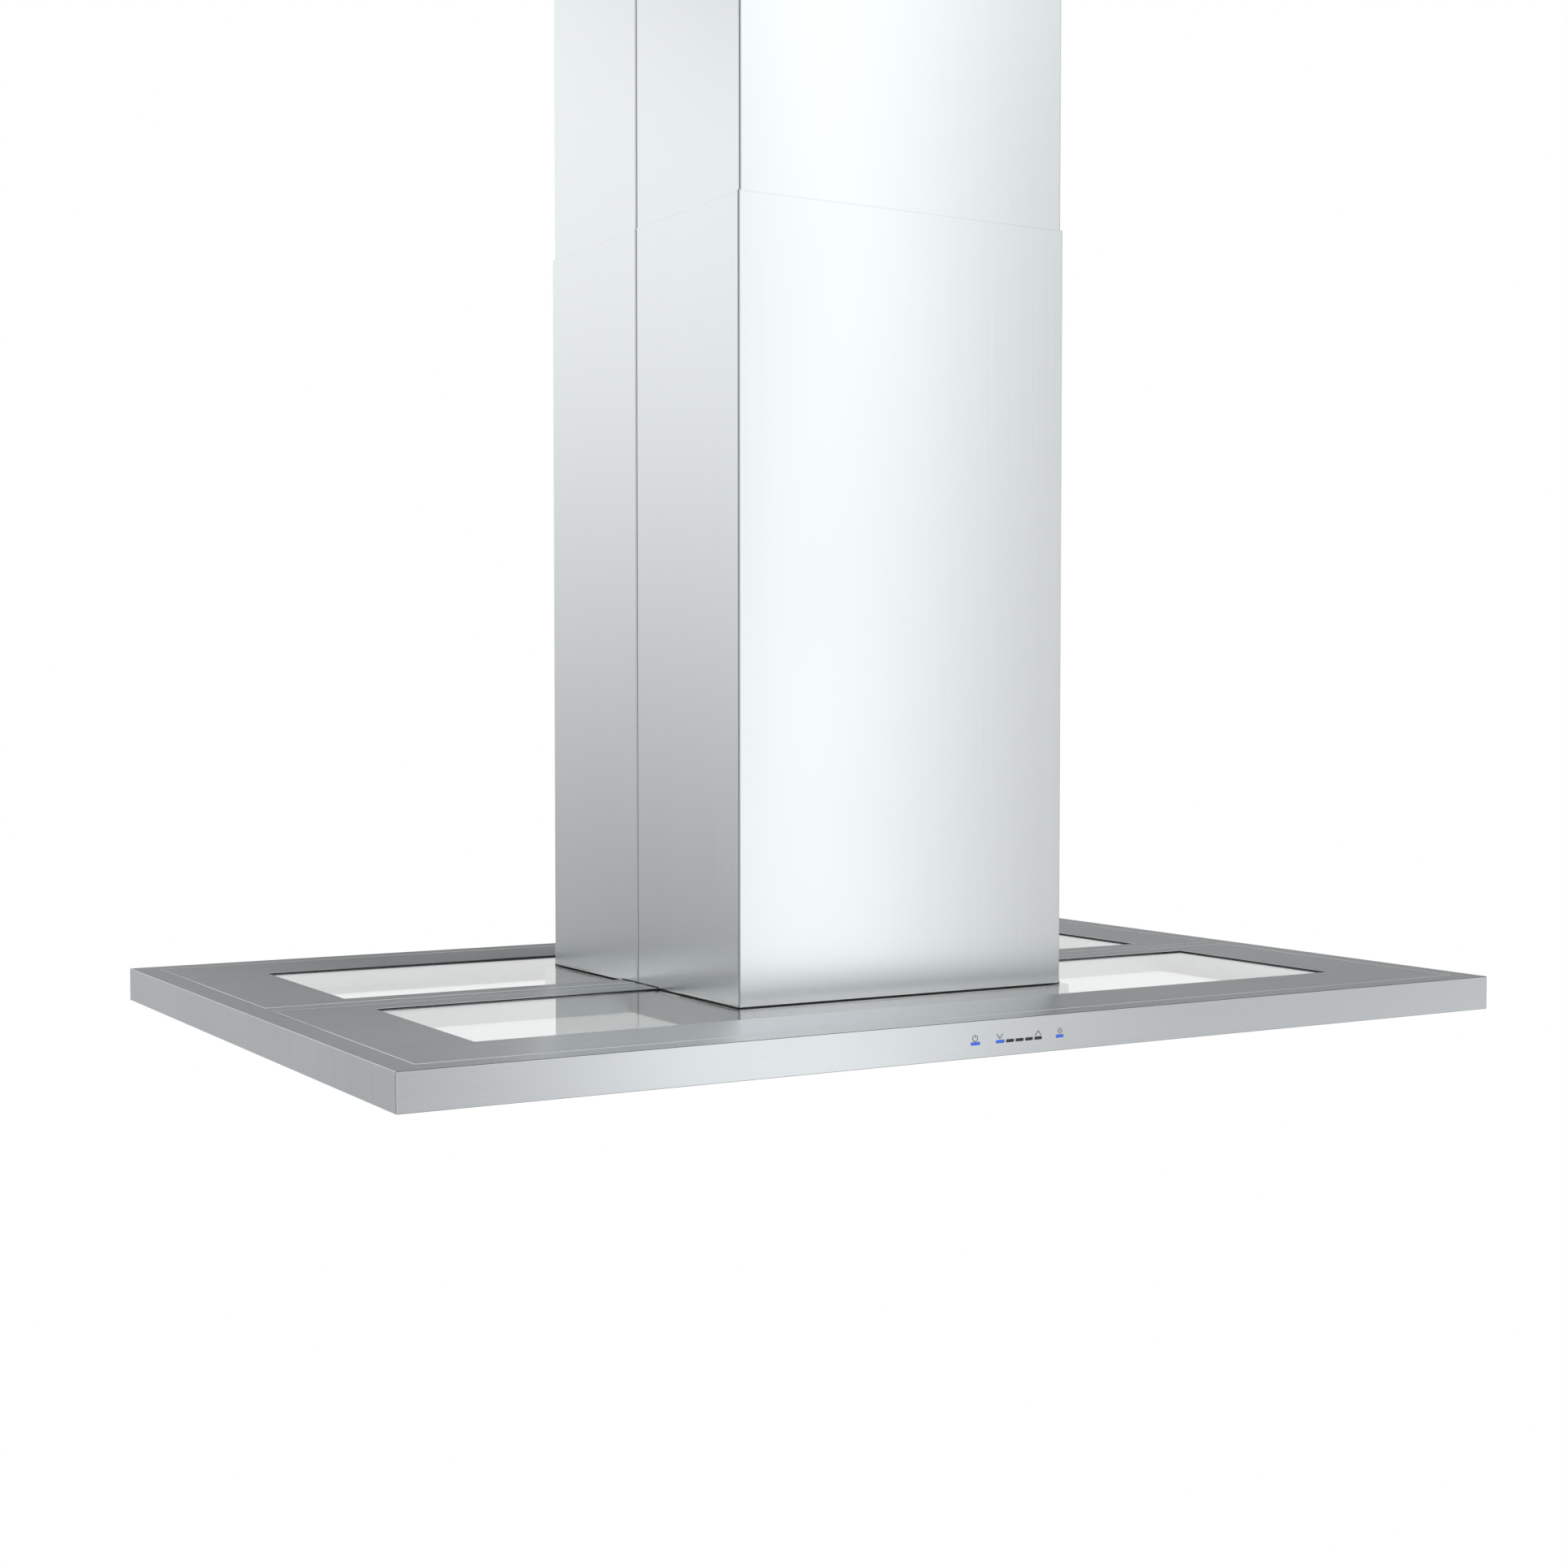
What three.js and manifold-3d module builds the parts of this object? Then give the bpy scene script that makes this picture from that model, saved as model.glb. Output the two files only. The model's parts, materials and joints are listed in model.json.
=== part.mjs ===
// Island range hood: a thin glass-windowed canopy hung from the ceiling under a telescoping square chimney.
//
// Units are millimetres and +Z is up. The origin is the centre of the ceiling bracket's top face.
// +X runs along the canopy's long front edge, to the right, and -Y is the side with the controls.
//
// Two groups make the scene. ceilingFrame is what the ceiling holds: the bracket, its legs and the upper
// chimney cover. hood is everything that is raised and lowered with the canopy, and its own z = 0 is the
// canopy's top surface.

import * as THREE from 'three';
import { mergeVertices } from 'three/addons/utils/BufferGeometryUtils.js';
import Module from 'manifold-3d';

const wasm = await Module();
wasm.setup();

// ---- Driving dimensions ----

const GAP = 0.3; // between separate pieces that would otherwise touch
const DROP = 1026; // ceiling to canopy top at rest

const WIDTH = 1066.8; // canopy, left to right
const DEPTH = 700; // canopy, front to back
const THICK = 30; // canopy, top to bottom
const SHEET = 1.2; // canopy sheet metal
const FOLD = 1.8; // outside radius of a folded corner

const RIM = 23; // steel margin around the two top panels
const BAR = 21.4; // steel bar between the two top panels
const BAR_LEDGE = 4; // thickness of the bar's ledge under the panels
const BAR_WEB = 9; // width of the web under the bar
const PANEL_GAP = 0.8; // outline gap around each top panel
const PANEL_BORDER = 78.5; // steel between a panel's outer edge and its window
const PANEL_STRIP = 25.3; // steel between the bar and a panel's window
const RECESS = 45; // bottom flange inside the canopy's hollow rim
const LEDGE = 6; // ledge that a top panel rests on
const RIM_THICK = 2.7; // rim where it carries that ledge
const GLASS = 6;
const GLASS_LAP = 8; // glass hidden under the steel on each side

const PLENUM = { x: 178, y: 187, radius: 9, sheet: 1.5 }; // half sizes of the suction box
const THROAT = { x: 160, y: 175 }; // half sizes of the way up through canopy and glass
const INTAKE = { x: 131, y: 146 }; // half sizes of the hole in the base ring

const COVER = { x: 167, y: 182, bottom: 1, top: 676, seam: 4.4 }; // lower chimney cover, half sizes
const UPPER_COVER = { x: 165.2, y: 181, length: 620, seam: 7 };
const COVER_SHEET = 0.6;
const SEAM_GROOVE = 2.2;
const SEAM_LAP = 14; // hidden flange of the rear half behind the front half
const SEAM_PLAY = 0.15;

const FILTER = { x: 171.5, inner: 8, outer: 181, bottom: -29.7, thick: 12, border: 10, latchBorder: 26 };
const LATCH = { x: 27, inner: 13, width: 13, thick: 2.9, boltX: 9.5, boltTip: 7, travel: 5 };
const LATCH_RIDGE = { x: 12, from: 18, to: 21, height: 2 };
const RAIL = { flangeY: 6.5, flange: 2, webY: 2 }; // the filters' rail, half widths
// slots along the left and right edges of the suction box's top
const VENT = { count: 6, first: 36, pitch: 24, length: 16, width: 3, edge: 5 };
const BAFFLE = { count: 10, width: 24, lip: 5, sheet: 1, height: 10, endBar: 3 };

const LAMP_X = 300;
const LAMP_LENS_R = 20.7;
const HEAT_SINK = { baseR: 24.5, baseHeight: 7, finR: 18, finFrom: 9, height: 18, groove: 2, pitch: 6 };

const BAR_HEIGHT = 2; // indicator bars on the front face
const BAR_Z = -18.2;
const LIT_BARS = [[-49.1, -40.6], [-24.5, -16.5], [35.4, 42.8]];
const UNLIT_BARS = [[-14.4, -7], [-5, 2.5], [4.5, 11.8], [13.8, 20.9]];
const BAR_PLAY = 0.15; // around each bar in its slot
const STRIP = 2; // thickness of the strip that joins the bars behind the skin
const TRAY = { x: 66, depth: 22, wall: 1.5, from: 1.5 }; // behind the front skin
const BOARD = { x: 60, z: [-26, -6], thick: 1.6, from: 5 };

const AIR_BOX = { x: 145, y: 160, bottom: -4.2, top: 300 };
const BLOWER = { y: -55, z: 150, halfWidth: 46, sheet: 1.5, inletR: 58 };
const SPIRAL = { start: 79, end: 120, outlet: 90 }; // radii of the scroll and width of its outlet
const WHEEL = { r: 70, eye: 56, halfWidth: 41, ring: 1.5, blades: 12, chord: 12.5, slant: 28, sides: 24 };
const SHAFT_R = 4;
const MOTOR = { r: 40, near: 6, far: 36, shoulder: 6 };
const BRACKET = { sheet: 2, width: 12, hubR: 22, lap: 18 }; // the motor's three-armed bracket
const COLLAR = { y: 20, inner: 73, outer: 75, bottom: 301.8, top: 361.8, flange: 85, flangeSheet: 1.5 };
const DAMPER = { z: 331, r: 71.5, thick: 1, pinR: 2, barrelR: 4.5, barrel: 9, plateFrom: 5.2 };
const CAPACITOR = { x: -105, y: -125, r: 17, height: 60, terminalR: 6, terminal: 5, shoulder: 3 };
const JUNCTION = {
  x: [-20, 70],
  y: [-152, -102],
  bottom: AIR_BOX.top + GAP,
  top: AIR_BOX.top + 45,
  sheet: 1.5,
};
const GLAND = { bore: 4.5, thread: 7, hex: 11, nut: 9, hexLength: 5, length: 16, inside: 10 };

const LEG = { x: 158, y: 173, width: 28, sheet: 2.5, top: 620 }; // lower frame, outer corner half sizes
const UPPER_LEG_BOTTOM = 420; // measured in the hood group at rest
const BOLT = { z: 595, inset: 14, r: 3, headR: 5.5, head: 3 };
const LIFT = { down: 150, up: 200, spare: 5 }; // travel of the hood on its bolts, for the legs' slots
const LOWER_BRACE = { sheet: 2.4, z: [540, 565] };
const UPPER_BRACE = { sheet: 2.5, above: 2, height: 16 };
const CEILING_PLATE = { thick: 3, flange: 28, duct: 105, slotX: [118, 138], slotY: [136, 144] };

// ---- Materials ----

const brushedSteel = new THREE.MeshStandardMaterial({ color: 0xb4b6b8, roughness: 0.32, metalness: 1 });
const chimneySteel = new THREE.MeshStandardMaterial({ color: 0xc4c8cc, roughness: 0.3, metalness: 1 });
const zincSteel = new THREE.MeshStandardMaterial({ color: 0x9da1a4, roughness: 0.5, metalness: 0.9 });
const greyPaint = new THREE.MeshStandardMaterial({ color: 0xbdbfc0, roughness: 0.45, metalness: 0.3 });
const clearGlass = new THREE.MeshStandardMaterial({
  color: 0xe4ebea,
  roughness: 0.03,
  metalness: 0,
  transparent: true,
  opacity: 0.35,
});
const filterSteel = new THREE.MeshStandardMaterial({ color: 0xa9abad, roughness: 0.35, metalness: 1 });
const blackPlastic = new THREE.MeshStandardMaterial({ color: 0x17181a, roughness: 0.5, metalness: 0 });
const lampLens = new THREE.MeshStandardMaterial({ color: 0xf3f2ea, roughness: 0.4, metalness: 0 });
const blueLens = new THREE.MeshStandardMaterial({ color: 0x2f6fd6, roughness: 0.3, metalness: 0 });
const smokedLens = new THREE.MeshStandardMaterial({ color: 0x0b0c0e, roughness: 0.2, metalness: 0 });
const boardGreen = new THREE.MeshStandardMaterial({ color: 0x1d5a33, roughness: 0.6, metalness: 0 });
const castAluminium = new THREE.MeshStandardMaterial({ color: 0x8f9295, roughness: 0.55, metalness: 0.9 });

// ---- Solids ----

/** A closed three.js geometry as a manifold solid. */
function solid(geometry) {
  const bare = geometry.clone();
  bare.deleteAttribute('normal');
  bare.deleteAttribute('uv');
  const merged = mergeVertices(bare, 1e-4);
  return new wasm.Manifold(
    new wasm.Mesh({
      numProp: 3,
      vertProperties: new Float32Array(merged.attributes.position.array),
      triVerts: new Uint32Array(merged.index.array),
    }),
  );
}

/** A manifold solid as a flat-shaded three.js geometry. */
function geometryOf(manifold) {
  const mesh = manifold.getMesh();
  const geometry = new THREE.BufferGeometry();
  geometry.setAttribute('position', new THREE.BufferAttribute(new Float32Array(mesh.vertProperties), 3));
  geometry.setIndex(new THREE.BufferAttribute(new Uint32Array(mesh.triVerts), 1));
  const flat = geometry.toNonIndexed();
  flat.computeVertexNormals();
  return flat;
}

function join(first, ...others) {
  return others.reduce((sum, other) => sum.add(other), first);
}

function cut(first, ...others) {
  return others.reduce((rest, other) => rest.subtract(other), first);
}

/** A box between two values on each axis, given in either order. */
function block([x0, x1], [y0, y1], [z0, z1]) {
  const box = new THREE.BoxGeometry(Math.abs(x1 - x0), Math.abs(y1 - y0), Math.abs(z1 - z0));
  return solid(box.translate((x0 + x1) / 2, (y0 + y1) / 2, (z0 + z1) / 2));
}

/** A box centred on x = y = 0 with the half sizes x and y. */
function centred(x, y, z) {
  return block([-x, x], [-y, y], z);
}

/** An outline extruded from z0 to z1. */
function prism(outline, [z0, z1], curveSegments = 4) {
  const options = { depth: z1 - z0, bevelEnabled: false, curveSegments };
  return new THREE.ExtrudeGeometry(outline, options).translate(0, 0, z0);
}

/** Turns a geometry's x, y and z into y, z and x, for outlines that belong in the y-z plane. */
function alongX(geometry) {
  const cycle = new THREE.Matrix4().makeBasis(
    new THREE.Vector3(0, 1, 0),
    new THREE.Vector3(0, 0, 1),
    new THREE.Vector3(1, 0, 0),
  );
  return geometry.applyMatrix4(cycle);
}

function roundedRectangle(x, y, radius) {
  const outline = new THREE.Shape();
  const corners = [[1, -1, -90], [1, 1, 0], [-1, 1, 90], [-1, -1, 180]];
  for (const [sx, sy, start] of corners) {
    const from = THREE.MathUtils.degToRad(start);
    outline.absarc(sx * (x - radius), sy * (y - radius), radius, from, from + Math.PI / 2, false);
  }
  outline.closePath();
  return outline;
}

/** A block centred on x = y = 0 with rounded upright corners. */
function roundedBlock(x, y, z, radius) {
  return solid(prism(roundedRectangle(x, y, radius), z));
}

/** A rectangular ring: half sizes of its outside and its hole. */
function ring(outer, inner, z) {
  return cut(centred(outer.x, outer.y, z), centred(inner.x, inner.y, [z[0] - 1, z[1] + 1]));
}

/** An upright cylinder. */
function post(radius, [x, y], [z0, z1], sides = 32) {
  const cylinder = new THREE.CylinderGeometry(radius, radius, z1 - z0, sides).rotateX(Math.PI / 2);
  return solid(cylinder.translate(x, y, (z0 + z1) / 2));
}

/** A cylinder lying along x. */
function rod(radius, [x0, x1], [y, z], sides = 24) {
  const cylinder = new THREE.CylinderGeometry(radius, radius, x1 - x0, sides).rotateZ(Math.PI / 2);
  return solid(cylinder.translate((x0 + x1) / 2, y, z));
}

/** A profile of [radius, height] points turned about the upright axis. */
function turned(profile, sides) {
  const points = profile.map(([radius, height]) => new THREE.Vector2(radius, height));
  return new THREE.LatheGeometry(points, sides).rotateX(Math.PI / 2);
}

/** A named mesh, from a manifold solid or a three.js geometry. */
function part(name, body, material) {
  const geometry = body.isBufferGeometry ? body : geometryOf(body);
  const mesh = new THREE.Mesh(geometry, material);
  mesh.name = name;
  return mesh;
}

// ---- Canopy ----

const halfWidth = WIDTH / 2;
const halfDepth = DEPTH / 2;
const panelX = halfWidth - RIM;
const panelY = halfDepth - RIM;
const windowX = panelX - PANEL_BORDER;
const windowOuterY = panelY - PANEL_BORDER;
const windowInnerY = BAR / 2 + PANEL_STRIP;
const wallX = windowX + RECESS;
const wallY = windowOuterY + RECESS;
const lampY = (wallY + halfDepth) / 2;
const frontSkin = [-halfDepth - 1, -halfDepth + SHEET + 1];

/** The steel between the two top panels, from the rim to the throat, with the web that hangs under it. */
function centreBar(side) {
  const underPanel = [-SHEET - GAP - BAR_LEDGE, -SHEET - GAP];
  const web = [-THICK, underPanel[1]];
  return join(
    block([side * (THROAT.x + 0.5), side * (panelX + 1)], [-BAR / 2, BAR / 2], [underPanel[0], 0]),
    block([side * (THROAT.x + 0.5), side * (panelX + 1)], [-BAR / 2 - LEDGE, BAR / 2 + LEDGE], underPanel),
    block([side * (PLENUM.x + GAP), side * (wallX + SHEET / 2)], [-BAR_WEB / 2, BAR_WEB / 2], web),
  );
}

/** The folded rim of the canopy: outer skin, top margin, hollow rim, inner wall and bottom flange. */
function canopyFrame() {
  const skin = roundedBlock(halfWidth, halfDepth, [-THICK, 0], FOLD);
  const hollow = ring(
    { x: halfWidth - SHEET, y: halfDepth - SHEET },
    { x: wallX + SHEET, y: wallY + SHEET },
    [-THICK + SHEET, -RIM_THICK],
  );
  const well = centred(wallX, wallY, [-THICK + SHEET, 1]);
  const bottomWindow = centred(windowX, windowOuterY, [-THICK - 1, 1]);
  const topOpening = centred(panelX - LEDGE, panelY - LEDGE, [-RIM_THICK, 1]);
  const panelSeat = centred(panelX, panelY, [-SHEET - GAP, 1]);
  const frame = cut(skin, hollow, well, bottomWindow, topOpening, panelSeat);
  const withBars = join(frame, centreBar(-1), centreBar(1));
  const lampHoles = lampPlaces().map(([, x, y]) =>
    post(LAMP_LENS_R + GAP, [x, y], [-THICK - 1, -THICK + SHEET + 1]),
  );
  const slotZ = [BAR_Z - BAR_HEIGHT / 2 - BAR_PLAY, BAR_Z + BAR_HEIGHT / 2 + BAR_PLAY];
  const barSlots = [...LIT_BARS, ...UNLIT_BARS].map(([x0, x1]) =>
    block([x0 - BAR_PLAY, x1 + BAR_PLAY], frontSkin, slotZ),
  );
  return cut(withBars, ...lampHoles, ...barSlots);
}

/** One of the two steel top panels, with its window. side is -1 for the front one. */
function topPanel(side) {
  const plate = block(
    [-panelX + PANEL_GAP, panelX - PANEL_GAP],
    [side * (BAR / 2 + PANEL_GAP), side * (panelY - PANEL_GAP)],
    [-SHEET, 0],
  );
  const opening = block([-windowX, windowX], [side * windowInnerY, side * windowOuterY], [-5, 5]);
  return cut(plate, opening, centred(THROAT.x + 0.5, THROAT.y + 0.5, [-5, 5]));
}

/** The glass under one top panel, cut away around the throat. */
function windowGlass(side) {
  const top = -SHEET - GAP;
  const pane = block(
    [-windowX - GLASS_LAP, windowX + GLASS_LAP],
    [side * (windowInnerY - GLASS_LAP), side * (windowOuterY + GLASS_LAP)],
    [top - GLASS, top],
  );
  return cut(pane, centred(THROAT.x + 0.5, THROAT.y + 0.5, [top - GLASS - 1, top + 1]));
}

// ---- Suction box, filters and lamps ----

const plenumTop = -SHEET - GAP - GLASS - GAP;

/** The box between the glass and the filters, with a row of vent slots along its left and right top edges. */
function plenumBox() {
  const { x, y, radius, sheet } = PLENUM;
  const shell = roundedBlock(x, y, [-THICK, plenumTop], radius);
  const inside = roundedBlock(x - sheet, y - sheet, [-THICK - 1, plenumTop - sheet], radius - sheet);
  const box = cut(shell, inside, centred(INTAKE.x, INTAKE.y, [-THICK, 0]));
  const slots = [];
  for (let i = 0; i < VENT.count; i += 1) {
    const from = VENT.first + i * VENT.pitch;
    for (const side of [-1, 1]) {
      const acrossX = [side * (x - VENT.edge - VENT.width), side * (x - VENT.edge)];
      for (const end of [-1, 1]) {
        slots.push(block(acrossX, [end * from, end * (from + VENT.length)], [plenumTop - 2 * sheet, 0]));
      }
    }
  }
  return cut(box, ...slots);
}

/** The rail across the suction box that the filters' free edges close against. */
function filterRail() {
  const x = PLENUM.x - PLENUM.sheet - GAP;
  const top = plenumTop - PLENUM.sheet - GAP;
  const flange = block([-x, x], [-RAIL.flangeY, RAIL.flangeY], [-THICK, -THICK + RAIL.flange]);
  return join(flange, block([-x, x], [-RAIL.webY, RAIL.webY], [-THICK + RAIL.flange / 2, top]));
}

const filterTop = FILTER.bottom + FILTER.thick;
const latchTop = FILTER.bottom + GAP + LATCH.thick;

/** A filter's rigid border, with the pocket that its latch slides in. */
function filterFrame(side) {
  const { x, inner, outer, bottom, border, latchBorder } = FILTER;
  const slab = block([-x, x], [side * inner, side * outer], [bottom, filterTop]);
  const opening = block(
    [-x + border, x - border],
    [side * (inner + latchBorder), side * (outer - border)],
    [bottom - 1, filterTop + 1],
  );
  const pocket = block(
    [-LATCH.x - GAP, LATCH.x + GAP],
    [side * (LATCH.inner - GAP), side * (LATCH.inner + LATCH.width + LATCH.travel + 2 * GAP)],
    [bottom - 1, latchTop + GAP],
  );
  const boltWay = block(
    [-LATCH.boltX - GAP, LATCH.boltX + GAP],
    [side * (inner - 1), side * LATCH.inner],
    [bottom - 1, latchTop + GAP],
  );
  return cut(slab, opening, pocket, boltWay);
}

/** The slats of a filter: a lower row of channels open upwards under an upper row open downwards. */
function filterBaffles(side) {
  const x = FILTER.x - FILTER.border - GAP;
  const near = FILTER.inner + FILTER.latchBorder + GAP;
  const far = FILTER.outer - FILTER.border - GAP;
  const bottom = FILTER.bottom + 1;
  const top = bottom + BAFFLE.height;
  const endBar = (from, to) => block([-x, x], [side * from, side * to], [bottom - GAP, top + GAP]);
  const pieces = [endBar(near, near + BAFFLE.endBar), endBar(far - BAFFLE.endBar, far)];
  const pitch = (2 * x) / BAFFLE.count;
  for (let i = 0; i < BAFFLE.count; i += 1) {
    const centre = -x + (i + 0.5) * pitch;
    pieces.push(baffleChannel(centre, [side * (near + 1), side * (far - 1)], bottom, 1));
    if (i < BAFFLE.count - 1) {
      pieces.push(baffleChannel(centre + pitch / 2, [side * (near + 1), side * (far - 1)], top, -1));
    }
  }
  return join(...pieces);
}

/** One slat along y: a channel whose floor is at z and whose lips stand towards up, 1 or -1. */
function baffleChannel(centre, run, z, up) {
  const { width, lip, sheet } = BAFFLE;
  const floor = block([centre - width / 2, centre + width / 2], run, [z, z + up * lip]);
  const trough = block(
    [centre - width / 2 + sheet, centre + width / 2 - sheet],
    [run[0] * 2 - run[1], run[1] * 2 - run[0]],
    [z + up * sheet, z + up * 2 * lip],
  );
  return cut(floor, trough);
}

/** The sliding latch at a filter's free edge: plate, bolt and finger ridge. */
function filterLatch(side) {
  const z = [FILTER.bottom + GAP, latchTop];
  const plate = block([-LATCH.x, LATCH.x], [side * LATCH.inner, side * (LATCH.inner + LATCH.width)], z);
  const bolt = block([-LATCH.boltX, LATCH.boltX], [side * LATCH.boltTip, side * (LATCH.inner + 1)], z);
  const { x, from, to, height } = LATCH_RIDGE;
  const ridge = block([-x, x], [side * from, side * to], [z[0] - height, z[0] + 1]);
  return join(plate, bolt, ridge);
}

function lampPlaces() {
  return [
    ['front_left', -LAMP_X, -lampY],
    ['front_right', LAMP_X, -lampY],
    ['back_left', -LAMP_X, lampY],
    ['back_right', LAMP_X, lampY],
  ];
}

/** A lamp's heat sink: a wide base that holds the light source and a narrower finned top. */
function lampBody() {
  const { baseR, baseHeight, finR, finFrom, height, groove, pitch } = HEAT_SINK;
  const base = -THICK + SHEET + GAP;
  const slug = turned(
    [[0, 0], [baseR, 0], [baseR, baseHeight], [finR, finFrom], [finR, height], [0, height]],
    24,
  );
  const grooveZ = [(finFrom + height) / 2, height + 1];
  const grooves = [-2, -1, 0, 1, 2].map((i) =>
    block([i * pitch - groove / 2, i * pitch + groove / 2], [-finR - 1, finR + 1], grooveZ),
  );
  return geometryOf(cut(solid(slug), ...grooves)).translate(0, 0, base);
}

// ---- Controls ----

/** Indicator bars that show through the front skin, joined behind it by a strip. */
function indicatorComb(bars, stripFront) {
  const z = [BAR_Z - BAR_HEIGHT / 2, BAR_Z + BAR_HEIGHT / 2];
  const from = bars[0][0] - 1;
  const to = bars[bars.length - 1][1] + 1;
  const strip = block([from, to], [stripFront, stripFront + STRIP], [z[0] - 1, z[1] + 1]);
  return join(strip, ...bars.map((bar) => block(bar, [-halfDepth + 0.05, stripFront + 1], z)));
}

const trayFront = -halfDepth + SHEET + TRAY.from;
const trayBack = trayFront + TRAY.depth;

/** The tray behind the front skin that holds the control board, open towards the skin. */
function controlHousing() {
  const { x, wall } = TRAY;
  const z = [-THICK + SHEET + GAP, -RIM_THICK - GAP];
  const outside = block([-x, x], [trayFront, trayBack], z);
  const inside = block([-x + wall, x - wall], [trayFront - 1, trayBack - wall], [z[0] + wall, z[1] - wall]);
  return cut(outside, inside);
}

/** The control board with its chip, terminal block and relay on the rear side. */
function controlBoard() {
  const y = trayFront + BOARD.from;
  const board = block([-BOARD.x, BOARD.x], [y, y + BOARD.thick], BOARD.z);
  const component = (x, height, z) => block(x, [y + BOARD.thick / 2, y + BOARD.thick + height], z);
  const chip = component([-6, 6], 2, [-20, -12]);
  const terminals = component([30, 52], 7.4, [-22, -12]);
  const relay = component([-48, -30], 10.4, [-24, -10]);
  return join(board, chip, terminals, relay);
}

// ---- Blower ----

/** The ring that carries the frame and the air box, standing on the suction box inside the throat. */
function baseRing() {
  const bottom = plenumTop + GAP;
  const { x, y } = THROAT;
  const plate = 3;
  const wall = 2;
  const lip = 7.5;
  return join(
    ring({ x, y }, INTAKE, [bottom, bottom + plate]),
    ring({ x, y }, { x: x - wall, y: y - wall }, [bottom, AIR_BOX.bottom + lip]),
  );
}

/** The sheet box around the scroll: open below, with a hole above for the scroll's outlet. */
function airBox() {
  const { x, y, bottom, top } = AIR_BOX;
  const z = [bottom, top];
  const inside = centred(x - SHEET, y - SHEET, [bottom - 1, top - SHEET]);
  const { halfWidth: half, y: centre } = BLOWER;
  const margin = 2;
  const outlet = block(
    [-half + margin, half - margin],
    [centre + SPIRAL.end - SPIRAL.outlet + margin, centre + SPIRAL.end - margin],
    [top - 5, top + 5],
  );
  return cut(centred(x, y, z), inside, outlet);
}

/** The scroll's outline in the y-z plane, drawn smaller by inset, with its outlet ending at outletTop. */
function scrollOutline(inset, outletTop) {
  const { y, z } = BLOWER;
  const outletInner = SPIRAL.end - SPIRAL.outlet;
  const cutoff = Math.acos(outletInner / SPIRAL.start);
  const steps = 26;
  const outline = new THREE.Shape();
  outline.moveTo(y + outletInner + inset, outletTop);
  for (let i = 0; i <= steps; i += 1) {
    const angle = cutoff + ((2 * Math.PI - cutoff) * i) / steps;
    const r = SPIRAL.start + ((SPIRAL.end - SPIRAL.start) * i) / steps - inset;
    outline.lineTo(y + r * Math.cos(angle), z + r * Math.sin(angle));
  }
  outline.lineTo(y + SPIRAL.end - inset, outletTop);
  outline.closePath();
  return outline;
}

function blowerScroll() {
  const { y, z, halfWidth: half, sheet, inletR } = BLOWER;
  const outletTop = AIR_BOX.top - SHEET - GAP;
  const outside = solid(alongX(prism(scrollOutline(0, outletTop), [-half, half])));
  const inside = solid(alongX(prism(scrollOutline(sheet, outletTop + 5), [-half + sheet, half - sheet])));
  return cut(outside, inside, rod(inletR, [-half - 5, half + 5], [y, z], 32));
}

/** The double-inlet fan wheel: end rings, a middle plate with its hub, and slanted blades. */
function blowerWheel() {
  const { y, z } = BLOWER;
  const { r, eye, halfWidth: half, ring: ringSheet, blades, chord, slant, sides } = WHEEL;
  const endRing = (x0, x1) =>
    cut(rod(r, [x0, x1], [y, z], sides), rod(eye, [x0 - 1, x1 + 1], [y, z], sides));
  const plate = join(rod(r - 2, [-1, 1], [y, z], sides), rod(12, [-8, 4], [y, z]));
  const wheel = [endRing(-half, -half + ringSheet), endRing(half - ringSheet, half), plate];
  for (let i = 0; i < blades; i += 1) {
    const blade = new THREE.BoxGeometry(2 * half - 1, chord, SHEET);
    blade.rotateX(THREE.MathUtils.degToRad(slant));
    blade.translate(0, (r + eye) / 2, 0);
    blade.rotateX((2 * Math.PI * i) / blades);
    wheel.push(solid(blade.translate(0, y, z)));
  }
  return cut(join(...wheel), rod(SHAFT_R + GAP, [-half, half], [y, z]));
}

/** The motor in the wheel's right half: a drum with rounded shoulders and a bore for the shaft. */
function motorBody() {
  const { r, near, far, shoulder } = MOTOR;
  const bore = SHAFT_R + GAP;
  const profile = [
    [bore, near],
    [r - shoulder, near],
    [r, near + shoulder],
    [r, far - shoulder],
    [r - shoulder, far],
    [bore, far],
    [bore, near],
  ];
  return alongX(turned(profile, 28)).translate(0, BLOWER.y, BLOWER.z);
}

/** The three-armed bracket that holds the motor to the scroll's right cheek. */
function motorBracket() {
  const { y, z, halfWidth: half, inletR } = BLOWER;
  const { sheet, width, hubR, lap } = BRACKET;
  const hubX = [MOTOR.far + GAP, MOTOR.far + GAP + sheet];
  const cheekX = [half + GAP, half + GAP + sheet];
  const bend = inletR - 8;
  const armWidth = [-width / 2, width / 2];
  const arm = join(
    block(hubX, [hubR / 2, bend], armWidth),
    block([hubX[0], cheekX[1]], [bend - sheet, bend], armWidth),
    block(cheekX, [bend - sheet, bend - sheet + lap], armWidth),
  );
  const arms = [0, 120, 240].map((angle) => arm.rotate([angle, 0, 0]));
  return join(rod(hubR, hubX, [0, 0]), ...arms).translate([0, y, z]);
}

/** The round duct connection on top of the air box. */
function outletCollar() {
  const { y, inner, outer, bottom, top, flange, flangeSheet } = COLLAR;
  const plate = block([-flange, flange], [y - flange, y + flange], [bottom - flangeSheet, bottom]);
  const tube = post(outer, [0, y], [bottom - flangeSheet / 2, top], 48);
  return cut(join(plate, tube), post(inner, [0, y], [bottom - 5, top + 5], 48));
}

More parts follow.
